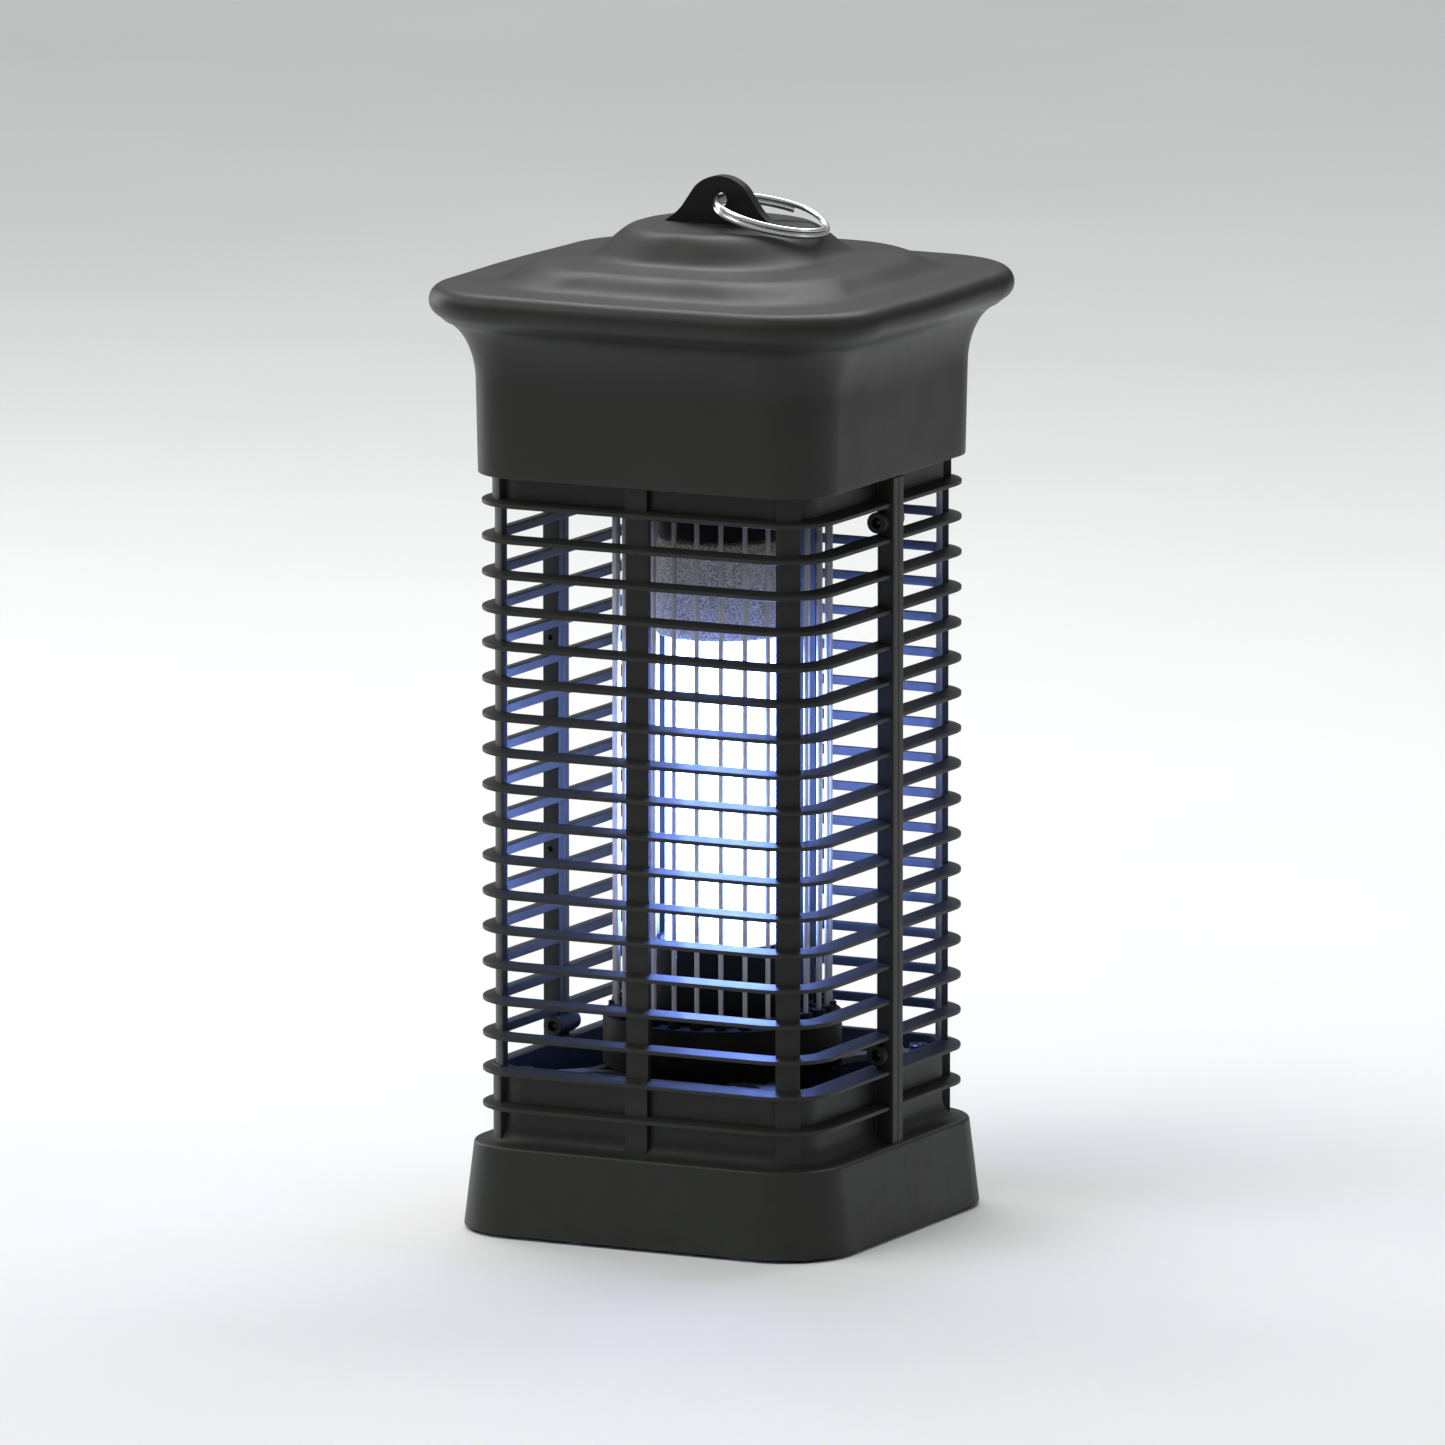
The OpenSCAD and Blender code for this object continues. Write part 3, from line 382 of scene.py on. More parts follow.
ROUND_OVER = math.radians(30)   # an edge that turns by more than this is rounded
STRAIGHT = math.radians(88)     # a corner whose half angle is wider than this stays as it is
WEIGHT = 80                     # share of the large faces in the shading


def new_object(name, mesh):
    obj = bpy.data.objects.new(name, mesh)
    bpy.context.scene.collection.objects.link(obj)
    return obj


def solid(verts, faces, edge_round=0.0, steps=2):
    """A closed mesh object in metres, with its hard edges rounded by a radius in millimetres."""
    bm = bmesh.new()
    made = [bm.verts.new(Vector(v) * MM) for v in verts]
    for face in faces:
        bm.faces.new([made[i] for i in face])
    bmesh.ops.recalc_face_normals(bm, faces=bm.faces)
    if edge_round:
        edges = [e for e in bm.edges if e.calc_face_angle(0) > ROUND_OVER]
        bmesh.ops.bevel(bm, geom=edges, offset=edge_round * MM, segments=steps, profile=0.5,
                        affect="EDGES", clamp_overlap=True)
    mesh = bpy.data.meshes.new("part")
    bm.to_mesh(mesh)
    bm.free()
    return new_object("part", mesh)


def rounded(points, radius, steps=4):
    """A closed outline with its corners rounded, by one radius or one for each corner."""
    out = []
    for i, point in enumerate(points):
        r = radius[i] if isinstance(radius, list) else radius
        p = Vector(point)
        u = (Vector(points[i - 1]) - p).normalized()
        v = (Vector(points[(i + 1) % len(points)]) - p).normalized()
        half = u.angle(v, math.pi) / 2
        if half > STRAIGHT:
            out.append(p)
            continue
        centre = p + (u + v).normalized() * (r / math.sin(half))
        start = p + u * (r / math.tan(half)) - centre
        end = p + v * (r / math.tan(half)) - centre
        a0 = math.atan2(start.y, start.x)
        turn = (math.atan2(end.y, end.x) - a0 + math.pi) % (2 * math.pi) - math.pi
        angles = [a0 + turn * k / steps for k in range(steps + 1)]
        out += [centre + r * Vector((math.cos(a), math.sin(a))) for a in angles]
    return [(p[0], p[1]) for p in out]


def arc(cx, cy, rx, ry, start, end, steps):
    """Points along an arc of an ellipse, from one angle in degrees to another."""
    angles = [math.radians(start + (end - start) * k / steps) for k in range(steps + 1)]
    return [(cx + rx * math.cos(a), cy + ry * math.sin(a)) for a in angles]


def loft(loops, close=False):
    """Faces between equal loops of points, closed by flat caps or back on the first loop."""
    n, m = len(loops[0]), len(loops)
    faces = [(j * n + i, j * n + (i + 1) % n, (j + 1) % m * n + (i + 1) % n, (j + 1) % m * n + i)
             for j in range(m if close else m - 1) for i in range(n)]
    if not close:
        faces += [tuple(range(n)), tuple(range((m - 1) * n, m * n))]
    return [p for loop in loops for p in loop], faces


def prism(outline, low, high, edge_round=0.3, steps=2):
    return solid(*loft([[(x, y, z) for x, y in outline] for z in (low, high)]), edge_round, steps)


def block(x, y, z, edge_round=0.3, steps=2):
    """A box between two values of each coordinate."""
    outline = [(x[0], y[0]), (x[1], y[0]), (x[1], y[1]), (x[0], y[1])]
    return prism(outline, z[0], z[1], edge_round, steps)


AXIS_TURN = {"Z": Matrix.Identity(3), "Y": Matrix.Rotation(math.radians(-90), 3, "X")}


def lathe(profile, steps=40, place=(0, 0, 0), axis="Z"):
    """A profile of (radius, height) from the axis back to the axis, turned about it through place."""
    verts, faces, rings = [], [], []
    for r, h in profile:
        if r == 0:
            rings.append([len(verts)])
            verts.append((0, 0, h))
            continue
        rings.append(list(range(len(verts), len(verts) + steps)))
        angles = [2 * math.pi * k / steps for k in range(steps)]
        verts += [(r * math.cos(a), r * math.sin(a), h) for a in angles]
    for a, b in zip(rings, rings[1:]):
        for k in range(steps):
            j = (k + 1) % steps
            corners = [a[k % len(a)], a[j % len(a)], b[j % len(b)], b[k % len(b)]]
            face = list(dict.fromkeys(corners))
            if len(face) > 2:
                faces.append(face)
    return solid([AXIS_TURN[axis] @ Vector(v) + Vector(place) for v in verts], faces)


def drum(radius, low, high, place=(0, 0, 0), axis="Z", chamfer=0.3, steps=40):
    """A solid cylinder, with its rims softened by the chamfer."""
    rim = [(radius, low)]
    top = [(radius, high)]
    if chamfer:
        c = chamfer
        inner = radius - c
        rim = [(inner, low)] + arc(inner, low + c, c, c, -60, -30, 1) + [(radius, low + c)]
        top = [(radius, high - c)] + arc(inner, high - c, c, c, 30, 60, 1) + [(inner, high)]
    return lathe([(0, low)] + rim + top + [(0, high)], steps, place, axis)


def merged(objects):
    """One object from parts that don't touch each other."""
    base = objects[0]
    bm = bmesh.new()
    for o in objects:
        bm.from_mesh(o.data)
    bm.to_mesh(base.data)
    bm.free()
    for o in objects[1:]:
        bpy.data.objects.remove(o)
    return base


def combined(base, others, operation="UNION"):
    """The union of solids, or base with the others cut away, as one closed mesh."""
    for other in others:
        join = base.modifiers.new("join", "BOOLEAN")
        join.operation = operation
        join.object = other
        join.solver = "MANIFOLD"
    evaluated = base.evaluated_get(bpy.context.evaluated_depsgraph_get())
    mesh = bpy.data.meshes.new_from_object(evaluated)
    base.modifiers.clear()
    base.data = mesh
    for other in others:
        bpy.data.objects.remove(other)
    return base


def shade(obj, angle):
    """Smooth shading, with edges kept hard where they turn by more than an angle in degrees."""
    mesh = obj.data
    mesh.polygons.foreach_set("use_smooth", [True] * len(mesh.polygons))
    mesh.set_sharp_from_angle(angle=math.radians(angle))
    weighted = obj.modifiers.new("shading", "WEIGHTED_NORMAL")
    weighted.keep_sharp = True
    weighted.weight = WEIGHT


SHARP_FROM = 33


def finished(obj, name, node, body="housing", angle=SHARP_FROM):
    """Names a piece, gives it its node's material and lets it stand for that node."""
    obj.name = obj.data.name = name
    shade(obj, angle)
    paint(obj, SLOT_OF[node])
    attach(obj, body)
    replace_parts(obj, node)
    return obj


def flipped(obj, axis):
    """Turns a part over to the other side of the plane across one axis."""
    obj.data.transform(Matrix.Scale(-1, 4, axis))
    obj.data.flip_normals()
    return obj


def mirrored(obj):
    """A copy of a part on the other side of the X = 0 plane."""
    return flipped(new_object("part", obj.data.copy()), (1, 0, 0))


# ---- cage and base halves; the rear one is the front one turned round ----

# Half widths of the rounded square, and heights
CORNER = 40.9                    # centre of the corner arcs
WALL_HALF = 52.6
WALL = 2.0
WALL_IN = WALL_HALF - WALL
FIN_HALF = 57.9
FIN_EDGE = 1.15
FIN_ROOT = 3.1
FIN_COUNT = 18
FIN_LOW = 38.1
FIN_PITCH = 10.76
BASE_HALF = 63.6
BASE_H = 27.2
FOOT_H = 1.0
LEDGE_OUT = BASE_HALF - 3
SHOULDER_R = 1.2
COVE_W = 4.6
COVE_H = 6
SKIRT_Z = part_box("roof_cap")[0].z / MM
PLATE_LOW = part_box("chassis_plate")[0].z / MM
PLATE_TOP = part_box("chassis_plate")[1].z / MM
BAND_TOP = 238.0

# Upright bars: how far their faces are from the wall, over the fins and over the two bands
BAR_FACES = (1.4, -0.6)
BAND_BAR_FACES = (2.15, -0.4)
MIDDLE_BAR_X = -1.5
MIDDLE_BAR_W = 7.5
CORNER_BAR_SWEEP = 33.3          # degrees round the corner
CORNER_BAR_RIGHT = 285.4
CORNER_BAR_LEFT = 299.9

# Side flanges with their bosses and pins, and the posts for bracket and foot screws
PARTING = 0.04
FLANGE_X = (53.3, 58.8)
FLANGE_Y = (-3.45, -PARTING)
BACKING_X = (WALL_HALF - 0.4, WALL_HALF + 0.8)
BOSS_X = 54.3
BOSS_R = 3.2
PIN_X = 56.2
PIN_R = 0.85
PIN_HOLE_R = 0.9
PIN_LENGTH = 2.2
PIN_HOLE_DEPTH = 4.5
BRACKET_POST_OUT = 62.5          # from the middle, along the diagonal
BRACKET_POST_R = 6.4
BRACKET_POST_Z = (29, 45)
BRACKET_SCREW_R = 1.3
BRACKET_SCREW_LOW = 35
FOOT_AT = 53
FOOT_POST_R = 4
FOOT_POST_H = 12
FOOT_HOLE_R = 2
FOOT_HOLE_DEPTH = 6
CLIP_PAD_HALF = 6
CLIP_PAD_Z = (13, 20.5)
TRAY_HALF = 53.5
TRAY_HIGH = 20.6
GUIDE_AT = 22


def fin_z(i):
    return FIN_LOW + FIN_PITCH * i


BAND_LOW_TOP = fin_z(1) + FIN_ROOT / 2
BAND_HIGH_LOW = fin_z(FIN_COUNT - 1) - FIN_ROOT / 2
BOSS_Z = (fin_z(1.5), fin_z(FIN_COUNT - 1.5))
PIN_Z = (fin_z(6.5), fin_z(12.5))


def half_stations(steps=16):
    """Stations (x, y, outward x, outward y) along the front half of the rounded square."""
    out = [(CORNER, -PARTING, 1, 0)]
    for sign, start in ((1, 0), (-1, -90)):
        for k in range(steps + 1):
            a = math.radians(start - 90 * k / steps)
            out.append((sign * CORNER, -CORNER, math.cos(a), math.sin(a)))
    return out + [(-CORNER, -PARTING, -1, 0)]


def sweep(section):
    """A section of (half width, height) carried round the front half of the rounded square."""
    loops = [[(x + dx * (h - CORNER), y + dy * (h - CORNER), z) for h, z in section]
             for x, y, dx, dy in half_stations()]
    return solid(*loft(loops))


def rect_section(h0, h1, z0, z1, radius):
    return rounded([(h0, z0), (h1, z0), (h1, z1), (h0, z1)], radius, 3)


def fin(i):
    """One fin, thinner at its edge than at its root."""
    z = fin_z(i)
    root = WALL_HALF - 0.2
    points = [(root, z - FIN_ROOT / 2), (FIN_HALF, z - FIN_EDGE / 2),
              (FIN_HALF, z + FIN_EDGE / 2), (root, z + FIN_ROOT / 2)]
    return sweep(rounded(points, [0.45, 0.22, 0.22, 0.45], 3))


def shell_section():
    """Base, shoulder, cove and lower band in one section, outside up and inside down."""
    shoulder = arc(LEDGE_OUT - SHOULDER_R, BASE_H - SHOULDER_R, SHOULDER_R, SHOULDER_R, 9, 90, 7)
    cove = arc(WALL_HALF + COVE_W, BASE_H + COVE_H, COVE_W, COVE_H, 270, 180, 10)
    outside = [(BASE_HALF - 0.5, FOOT_H), (BASE_HALF - 0.15, FOOT_H + 0.15),
               (BASE_HALF, FOOT_H + 0.5)]
    top = [(WALL_HALF, BAND_LOW_TOP - 0.35), (WALL_HALF - 0.12, BAND_LOW_TOP - 0.1),
           (WALL_HALF - 0.4, BAND_LOW_TOP), (WALL_IN + 0.4, BAND_LOW_TOP),
           (WALL_IN + 0.1, BAND_LOW_TOP - 0.1), (WALL_IN, BAND_LOW_TOP - 0.35)]
    inside = [(WALL_IN, BASE_H + 6), (BASE_HALF - 8.4, BASE_H - 2.2), (BASE_HALF - 5.2, BASE_H - 3.2),
              (BASE_HALF - 2.2, FOOT_H + 0.3), (BASE_HALF - 1.9, FOOT_H)]
    return outside + shoulder + cove + top + inside


def middle_bar(out, inner, low, high):
    sides = (MIDDLE_BAR_X - MIDDLE_BAR_W / 2, MIDDLE_BAR_X + MIDDLE_BAR_W / 2)
    return block(sides, (-WALL_HALF - out, -WALL_HALF - inner), (low, high))


def corner_bar(start, out, inner, low, high):
    """A bar bent round the right front corner, from a starting angle in degrees."""
    end = start + CORNER_BAR_SWEEP
    r0 = WALL_HALF - CORNER + inner
    r1 = WALL_HALF - CORNER + out
    face = arc(CORNER, -CORNER, r1, r1, start, end, 8)
    back = arc(CORNER, -CORNER, r0, r0, end, start, 8)
    return prism(face + back, low, high)


def bars(out, inner, low, high):
    """The middle bar and the two corner bars over one range of heights, as one object."""
    left = flipped(corner_bar(CORNER_BAR_LEFT, out, inner, low, high), (1, 0, 0))
    return merged([middle_bar(out, inner, low, high), left,
                   corner_bar(CORNER_BAR_RIGHT, out, inner, low, high)])


def to_corner(part):
    """Turns a part from the X axis to the right front corner."""
    part.data.transform(Matrix.Rotation(math.radians(-45), 4, "Z"))
    return part


def frontward(low, high, radius, z, chamfer=0.0):
    """A drum at a boss, from one depth to another in front of the parting plane."""
    return flipped(drum(radius, low, high, (BOSS_X, 0, z), "Y", chamfer), (0, 1, 0))


def tray_guide():
    """A short hook of the base wall that guides and stops the tray, on the X axis."""
    side = TRAY_HALF + 0.35
    inner = TRAY_HALF - 1.6
    stop = TRAY_HIGH + 0.3
    low = FOOT_H + 1.5
    top = stop + 1.6
    outline = [(side, low), (BASE_HALF - 2, low), (BASE_HALF - 4.4, top), (inner, top),
               (inner, stop), (side, stop)]
    return solid(*loft([[(x, y, z) for x, z in outline] for y in (-1, 1)]), 0.15, 1)


def tray_guides():
    """A guide on the right side and one on the front, to the right of the middle."""
    beside = tray_guide()
    beside.data.transform(Matrix.Translation(Vector((0, -GUIDE_AT, 0)) * MM))
    in_front = tray_guide()
    quarter_turn = Matrix.Rotation(math.radians(-90), 4, "Z")
    shift = Matrix.Translation(Vector((0, GUIDE_AT, 0)) * MM)
    in_front.data.transform(quarter_turn @ shift)
    return [beside, in_front]


def shell_half(boss_depth, hole_r):
    """The front half of cage and base, with screw holes of a radius through its bosses."""
    flange_top = SKIRT_Z - 0.2
    rim = (WALL_IN - 3, WALL_IN + 0.2)
    bracket_post = (BRACKET_POST_OUT, 0, 0)
    foot_post = (FOOT_AT, -FOOT_AT, 0)
    fins = merged([fin(i) for i in range(FIN_COUNT)])
    parts = [sweep(rect_section(WALL_IN, WALL_HALF, BAND_HIGH_LOW, BAND_TOP, 0.4)), fins,
             sweep(rect_section(*rim, PLATE_LOW - 2.5, PLATE_LOW - 0.02, 0.2)),
             sweep(rect_section(*rim, PLATE_TOP + 0.1, PLATE_TOP + 2.1, 0.2)),
             bars(*BAR_FACES, BAND_LOW_TOP - 1, BAND_HIGH_LOW + 1),
             bars(*BAND_BAR_FACES, BASE_H + 0.7, BAND_LOW_TOP),
             bars(*BAND_BAR_FACES, BAND_HIGH_LOW, BAND_TOP - 1)]
    # What stands on both sides: flange, its backing on the bands, bosses, posts and tray guides
    right_side = [
        [block(FLANGE_X, FLANGE_Y, (BASE_H - 0.5, flange_top), 0.4, 3)],
        [block(BACKING_X, FLANGE_Y, (BASE_H + 3, BAND_LOW_TOP), 0.1, 1),
         block(BACKING_X, FLANGE_Y, (BAND_HIGH_LOW, flange_top), 0.1, 1)],
        [frontward(PARTING, boss_depth, BOSS_R, z, chamfer=0.35) for z in BOSS_Z],
        [to_corner(drum(BRACKET_POST_R, *BRACKET_POST_Z, bracket_post, chamfer=0.4))],
        [drum(FOOT_POST_R, FOOT_H, FOOT_H + FOOT_POST_H, foot_post, chamfer=0.2)],
        tray_guides(),
    ]
    for group in right_side:
        one = merged(group)
        parts += [one, mirrored(one)]
    clip_pad_y = (-BASE_HALF + 3.9, -BASE_HALF + 6.5)
    parts.append(block((-CLIP_PAD_HALF, CLIP_PAD_HALF), clip_pad_y, CLIP_PAD_Z, 0.2, 1))
    holes = [frontward(-1, boss_depth + 1, hole_r, z) for z in BOSS_Z]
    bracket_hole = drum(BRACKET_SCREW_R, BRACKET_SCREW_LOW, BRACKET_POST_Z[1] + 1, bracket_post,
                        chamfer=0)
    holes += [to_corner(bracket_hole),
              drum(FOOT_HOLE_R, FOOT_H - 1, FOOT_H + FOOT_HOLE_DEPTH, foot_post, chamfer=0)]
    # Each half has its locating pins on the right, and on the left the holes for the other's pins
    parts.append(merged([drum(PIN_R, -1, PIN_LENGTH, (PIN_X, 0, z), "Y", 0.2, 24)
                         for z in PIN_Z]))
    pin_holes = merged([drum(PIN_HOLE_R, -PIN_HOLE_DEPTH, 1, (-PIN_X, 0, z), "Y", 0, 24)
                        for z in PIN_Z])
    cutter = merged(holes)
    shell = combined(sweep(shell_section()), parts)
    return combined(shell, [cutter, mirrored(cutter), pin_holes], "DIFFERENCE")


finished(shell_half(boss_depth=6.1, hole_r=1.65), "front_shell_body", "front_shell")
rear = shell_half(boss_depth=5.2, hole_r=1.9)
rear.data.transform(Matrix.Rotation(math.pi, 4, "Z"))
finished(rear, "rear_shell_body", "rear_shell")

# ---- roof ----

# Half widths of the rounded square, and heights
LIP_HALF = 73.6
LIP_R = 4.8
LIP_Z = 281.5
SKIRT_HALF = 59.0
SKIRT_SPREAD = 0.6               # how much wider the skirt is at its top
FLARE_LOW = SKIRT_Z + 27
FLARE_RISE = 19.5
FLARE_STEPS = 21                 # in a quarter turn; the flare stops short of it, under the lip
CROWN_Z = 301.6
CROWN_EDGE = 37.5
CROWN_RUN = 12
FIELD_Z = 286.3
TERRACE = 5.4                    # rise of the lower of the crown's two steps
TERRACE_EDGE = 58.5
TERRACE_RUN = 11
TERRACE_SLOPE = 0.1
TERRACE_WIDTH = 12
TERRACE_FALL = 1.2               # what the slope comes to over the width
ROOF_WALL = 2.2
TOP_BULGE = 1.3
SKIRT_BULGE = 0.3
ROOF_POSTS = [(x, y) for x in (-38, 38) for y in (-38, 38)]
ROOF_POST_R = 4.5
ROOF_SCREW_R = 1.3
ROOF_SCREW_DEPTH = 14
GLAND_Z = 248
GLAND_R = 6
LUG_ROOT = 4.6                   # depth of the lug's foot in the crown


def smooth(t):
    """A soft step from 0 to 1."""
    u = max(0.0, min(1.0, t))
    return u * u * (3 - 2 * u)


def roof_top_z(h):
    """Height of the top at a half width: a field, a terrace and the crown."""
    drain = TERRACE_SLOPE * max(0, min(TERRACE_WIDTH, 49 - h))
    crown = CROWN_Z - FIELD_Z - TERRACE - TERRACE_FALL
    return (FIELD_Z + TERRACE * smooth((TERRACE_EDGE - h) / TERRACE_RUN) + drain
            + crown * smooth((CROWN_EDGE - h) / CROWN_RUN))


def roof_corner(h):
    """Corner radius of the crown's steps at a half width."""
    return min(h, 20 + 0.19 * h)


def skirt_corner(h):
    """Corner radius of skirt and lip, whose corners share one centre."""
    return h - CORNER


def top_corner(h):
    """Corner radius of the top, from the steps' radius inside to the lip's outside."""
    lift = skirt_corner(66) - roof_corner(66)
    return min(h, roof_corner(h) + lift * smooth((h - 50) / 16))


def roof_outline(h, r, z, bulge, corner_steps=20, side_steps=15):
    """One ring of the roof: a rounded square with gently bowed sides."""
    points = []
    c = h - r
    for q in range(4):
        turn = Matrix.Rotation(q * math.pi / 2, 3, "Z")
        for i in range(1, side_steps + 1):
            u = 2 * i / (side_steps + 1) - 1
            points.append(turn @ Vector((h + bulge * (1 - u * u) ** 2, c * u, z)))
        for i in range(corner_steps + 1):
            a = math.pi / 2 * i / corner_steps
            points.append(turn @ Vector((c + r * math.cos(a), c + r * math.sin(a), z)))
    return points


def top_bulge(h):
    return TOP_BULGE * smooth((h - 30) / 36)


def skirt_ring(t, half):
    """A ring of the skirt, from its lower edge (t = 0) to the foot of the flare (t = 1)."""
    h = half + SKIRT_SPREAD * t
    return h, skirt_corner(h), SKIRT_Z + (FLARE_LOW - SKIRT_Z) * t, SKIRT_BULGE * t


def flare_ring(k, half, reach):
    """A ring of the flare, which curves up and out from the skirt like a quarter ellipse."""
    a = math.pi / 2 * k / FLARE_STEPS
    h = half + SKIRT_SPREAD + reach * (1 - math.cos(a))
    z = FLARE_LOW + FLARE_RISE * math.sin(a)
    return h, skirt_corner(h), z, SKIRT_BULGE + 0.9 * k / FLARE_STEPS


def outer_rings():
    """Half width, corner radius, height and bulge of the rings, from the skirt to the crown."""
    rings = [skirt_ring(k / 8, SKIRT_HALF) for k in range(1, 9)]
    rings += [flare_ring(k, SKIRT_HALF, 12) for k in range(1, 19)]
    for k in range(15):
        a = math.radians(-60 + 140 * k / 14)
        h = LIP_HALF - LIP_R + LIP_R * math.cos(a)
        rings.append((h, skirt_corner(h), LIP_Z + LIP_R * math.sin(a), TOP_BULGE))
    for k in range(59):
        h = 68.0 - k
        rings.append((h, top_corner(h), roof_top_z(h), top_bulge(h)))
    return rings


def inner_rings():
    """The same for the inside, from the crown to the skirt."""
    half = SKIRT_HALF - WALL
    rings = [(h, roof_corner(h), roof_top_z(h) - ROOF_WALL, top_bulge(h))
             for h in (9, 14, 20, 24, 28, 32, 36, 39, 42, 46, 49, 52, 55, 58, 62, 66)]
    rings += [flare_ring(k, half, 11) for k in range(18, 0, -2)]
    rings += [skirt_ring(t, half) for t in (1, 0.5, 0.012)]
    return rings + [(half + 0.35, skirt_corner(half + 0.35), SKIRT_Z, 0)]


def roof_skin():
    """The hollow roof, open at the bottom."""
    edge = [(h, skirt_corner(h), z, 0)
            for h, z in ((SKIRT_HALF - 0.35, SKIRT_Z), (SKIRT_HALF - 0.1, SKIRT_Z + 0.1),
                         (SKIRT_HALF, SKIRT_Z + 0.35))]
    outer = [roof_outline(*ring) for ring in edge + outer_rings()]
    inner = [roof_outline(*ring) for ring in inner_rings()]
    n = len(outer[0])
    seam = len(outer) - 1
    verts, faces = loft(outer + inner, close=True)
    # The crown isn't joined to its underside: each is closed by a fan of its own
    faces = [f for k, f in enumerate(faces) if k // n != seam]
    for z, start in ((CROWN_Z, seam * n), (CROWN_Z - ROOF_WALL, (seam + 1) * n)):
        faces += [(start + i, start + (i + 1) % n, len(verts)) for i in range(n)]
        verts.append(Vector((0, 0, z)))
    return solid(verts, faces)


def roof():
    skin = roof_skin()
    post_top = roof_top_z(46) - 1.2
    posts = merged([drum(ROOF_POST_R, PLATE_TOP, post_top, (x, y, 0), chamfer=0)
                    for x, y in ROOF_POSTS])
    pad = block((-20, 20), (-8, 8), (CROWN_Z - LUG_ROOT, CROWN_Z - 1), 0.2, 1)
    hole_top = PLATE_TOP + ROOF_SCREW_DEPTH
    holes = merged([drum(ROOF_SCREW_R, PLATE_TOP - 1, hole_top, (x, y, 0), chamfer=0)
                    for x, y in ROOF_POSTS])
    slot = block((-12.1, 12.1), (-2.1, 2.1), (CROWN_Z - 6, CROWN_Z + 2), 0, 1)
    gland = drum(GLAND_R, 50, 70, (0, 0, GLAND_Z), "Y", 0)
    return combined(combined(skin, [posts, pad]), [holes, slot, gland], "DIFFERENCE")


finished(roof(), "roof_body", "roof_cap", angle=50)

# ---- lug and split ring ----

HOLE_Z = 309.0
HOLE_R = 2.2
LUG_T = 4.0
LUG_TOP = 7.2                    # heights of the lug are from its hole
LUG_CAP = 2.0                    # where its sides start to close to the rounded top
LUG_HALF = 10.95
LUG_SLOPE = 0.69
LUG_FLARE = 0.09
LUG_FOOT = 12                    # half width in the crown
LUG_SCREW_X = 8
LUG_SCREW_R = 1


def lug_half_at(z):
    """Half width of the bell-shaped lug at a height above the hole."""
    cap = math.sqrt(max(0.0, 1 - (max(0.0, z - LUG_CAP) / (LUG_TOP - LUG_CAP)) ** 3))
    return (LUG_HALF - LUG_SLOPE * z) * cap + LUG_FLARE * max(0.0, -LUG_CAP - z) ** 2


def lug():
    foot = CROWN_Z - HOLE_Z
    heights = [foot + (LUG_CAP - foot) * k / 24 for k in range(25)]
    heights += [LUG_CAP + (LUG_TOP - LUG_CAP) * math.sin(math.pi / 2 * k / 20) for k in range(1, 19)]
    side = [(lug_half_at(z), HOLE_Z + z) for z in heights]
    other_side = [(-x, z) for x, z in reversed(side)]
    root = CROWN_Z - LUG_ROOT
    sunk = [(-LUG_FOOT, CROWN_Z), (-LUG_FOOT, root), (LUG_FOOT, root), (LUG_FOOT, CROWN_Z)]
    outline = side + [(0, HOLE_Z + LUG_TOP)] + other_side + sunk
    faces_y = (-LUG_T / 2, LUG_T / 2)
    plate = solid(*loft([[(x, y, z) for x, z in outline] for y in faces_y]), 0.55, 4)
    # The hole is countersunk from both faces
    bore = [(0, -6), (HOLE_R + 4, -6), (HOLE_R, -1.45), (HOLE_R, 1.45), (HOLE_R + 4, 6), (0, 6)]
    hole = lathe(bore, place=(0, 0, HOLE_Z), axis="Y")
    screws = merged([drum(LUG_SCREW_R, CROWN_Z - 6, CROWN_Z + 1.4, (x, 0, 0), chamfer=0)
                     for x in (-LUG_SCREW_X, LUG_SCREW_X)])
    return combined(plate, [hole, screws], "DIFFERENCE")


finished(lug(), "lug_body", "hanging_lug")

RING_R = 17.0
WIRE_R = 0.85
RING_SLOPE = math.radians(13.5)  # how the ring lies on the crown at rest
LIFT = WIRE_R * 0.96             # half the distance between its two turns
# Angles round the ring where the wire starts, ends and climbs from one turn to the other
WIRE_START = math.radians(93.5)
WIRE_END = math.radians(724)
CLIMB_FROM = math.radians(378)
CLIMB_TO = math.radians(449)
WIRE_STEPS = 260


def wire(path, radius, steps=16):
    """A round wire along a path of points, with rounded ends."""
    loops = []
    last = len(path) - 1
    up = Vector((0, 0, 1))
    for k, p in enumerate(path):
        ahead = (path[min(k + 1, last)] - path[max(k - 1, 0)]).normalized()
        side = ahead.cross(up).normalized()
        up = side.cross(ahead).normalized()
        loops.append([p + radius * (math.cos(a) * side + math.sin(a) * up)
                      for a in (2 * math.pi * i / steps for i in range(steps))])
    ends = []
    for tip, inner, ring in ((path[0], path[1], loops[0]), (path[-1], path[-2], loops[-1])):
        out = (tip - inner).normalized()
        ends.append([[tip + (q - tip) * shrink + out * radius * reach for q in ring]
                     for shrink, reach in ((0.93, 0.2), (0.75, 0.38))])
    return solid(*loft(list(reversed(ends[0])) + loops + ends[1]))


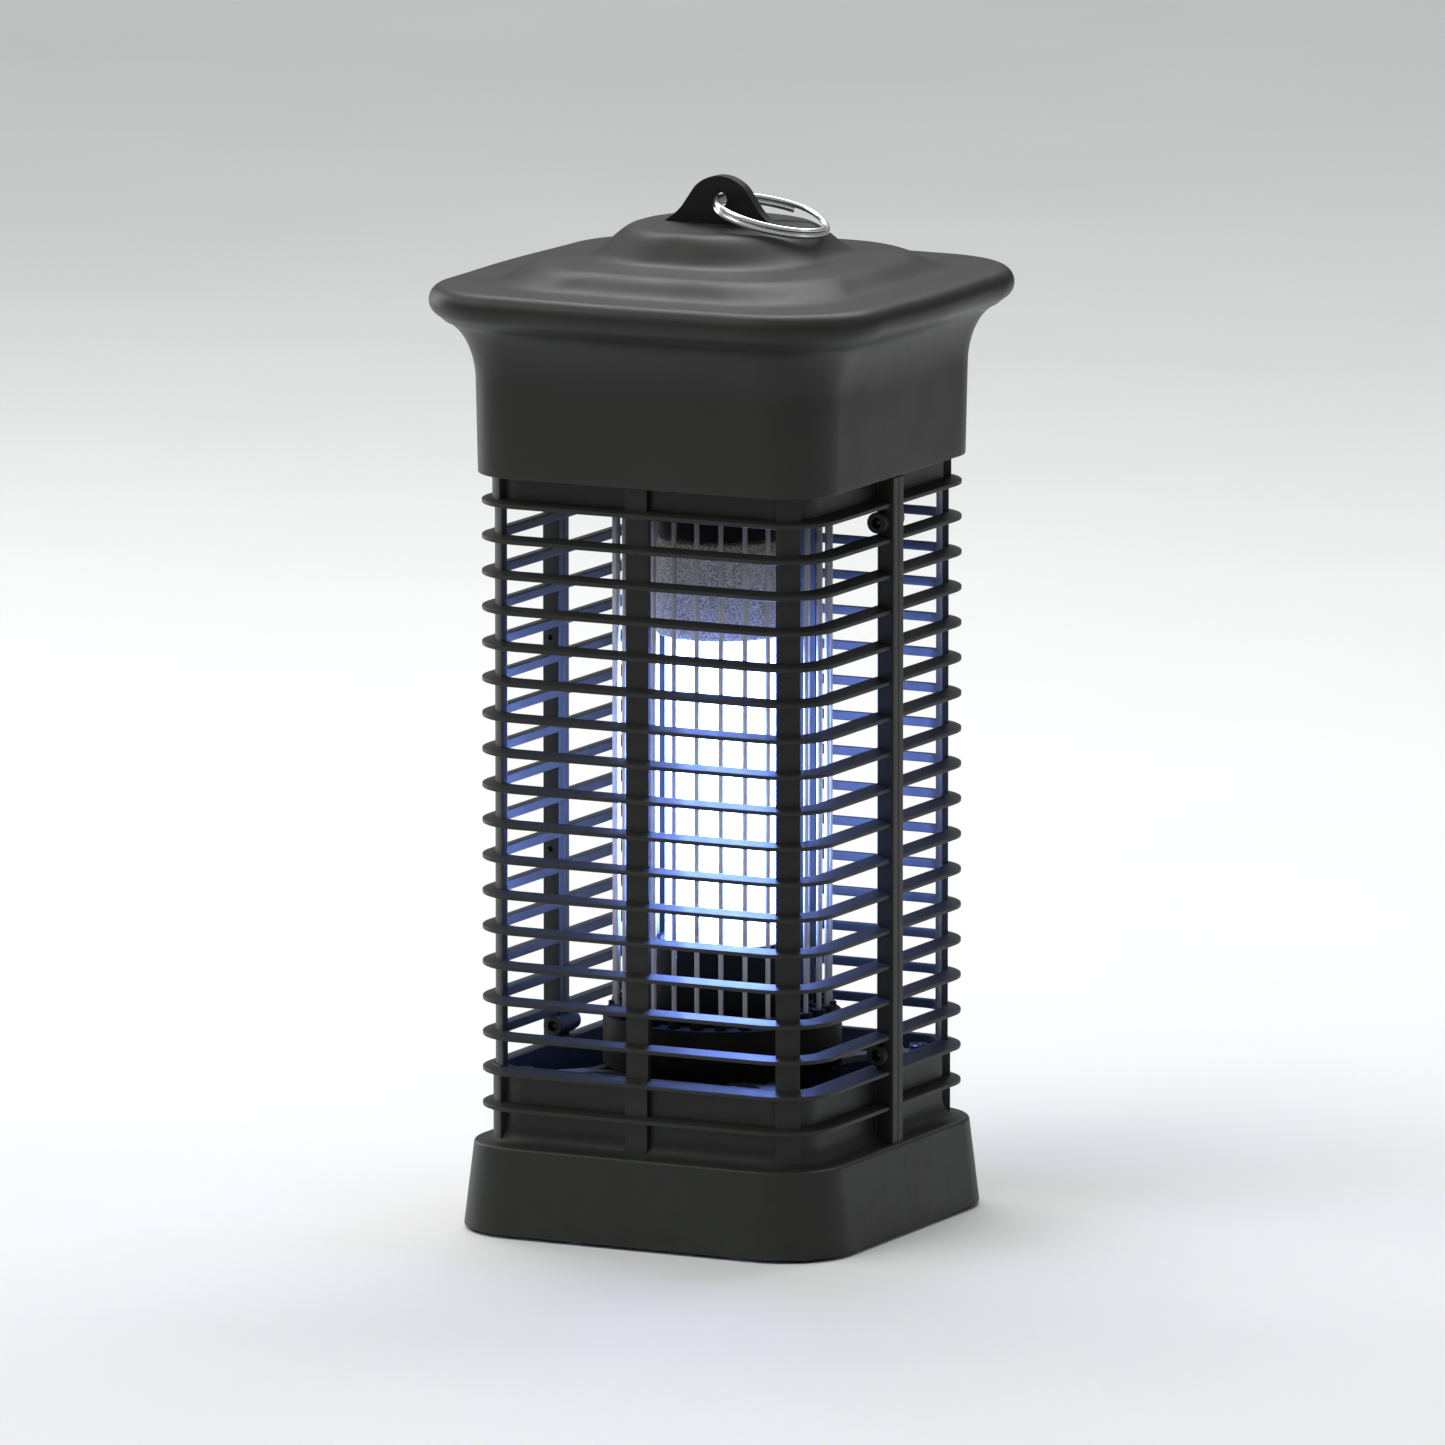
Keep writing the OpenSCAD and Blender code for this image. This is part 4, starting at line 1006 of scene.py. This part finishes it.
def split_ring():
    """One wire in two turns, the second of which climbs past the first."""
    path = []
    for k in range(WIRE_STEPS + 1):
        a = WIRE_START + (WIRE_END - WIRE_START) * k / WIRE_STEPS
        z = -LIFT + 2 * LIFT * smooth((a - CLIMB_FROM) / (CLIMB_TO - CLIMB_FROM))
        path.append(Vector((RING_R + RING_R * math.cos(a), RING_R * math.sin(a), z)))
    ring = wire(path, WIRE_R)
    to_hole = Matrix.Translation(Vector((0, 0, HOLE_Z)) * MM)
    ring.data.transform(to_hole @ Matrix.Rotation(RING_SLOPE, 4, "Y"))
    return ring


finished(split_ring(), "split_ring_wire", "split_ring", body="ring", angle=60)

# ---- the other CAD solids keep their shape, and those that show get softened edges ----

WELD_DISTANCE = 0.000002
FLAT_WITHIN = math.radians(0.5)
SOFTEN_OVER = math.radians(40)
# Edge radii in millimetres
SOFT_EDGE = {"grid_base": 0.25, "base_brackets": 0.15, "insect_tray": 0.3, "chassis_plate": 0.2,
             "grid_top_insulator": 0.25, "lamp_housing": 0.25, "lamp_socket": 0.25, "cord_gland": 0.25,
             "gland_nut": 0.25, "rubber_feet": 0.3, "terminal_block": 0.2, "transformer_core": 0.2,
             "circuit_board": 0.1, "tray_clips": 0.1}


def softened(obj, width):
    """Rounds the hard edges of a CAD solid by modifiers alone."""
    flat = obj.modifiers.new("flat", "DECIMATE")
    flat.decimate_type = "DISSOLVE"
    flat.angle_limit = FLAT_WITHIN
    edges = obj.modifiers.new("edges", "BEVEL")
    edges.width = width * MM
    edges.segments = 2
    edges.limit_method = "ANGLE"
    edges.angle_limit = SOFTEN_OVER
    weighted = obj.modifiers.new("shading", "WEIGHTED_NORMAL")
    weighted.keep_sharp = False


replaced = {name for obj in bpy.context.scene.objects for name in obj.get("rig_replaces", [])}
for name, obj in frame["nodes"].items():
    if name in replaced:
        continue
    weld = obj.modifiers.new("weld", "WELD")
    weld.merge_threshold = WELD_DISTANCE
    paint(obj, SLOT_OF[name])
    obj.data.polygons.foreach_set("use_smooth", [True] * len(obj.data.polygons))
    if name in SOFT_EDGE:
        softened(obj, SOFT_EDGE[name])

# ---- floor ----

FLOOR_HALF = 12

pale = Shader("pale_floor")
cloudy = pale.ramp(pale.noise(300, 3), 0.3, 0.7)
pale.feed("Base Color", pale.mix(cloudy, (0.62, 0.62, 0.615), (0.65, 0.65, 0.645)))
pale.set(Roughness=0.75)
floor = new_object("floor", bpy.data.meshes.new("floor"))
floor.data.from_pydata([(x * FLOOR_HALF, y * FLOOR_HALF, 0)
                        for x, y in ((-1, -1), (1, -1), (1, 1), (-1, 1))], [], [(0, 1, 2, 3)])
floor.data.materials.append(pale.material)
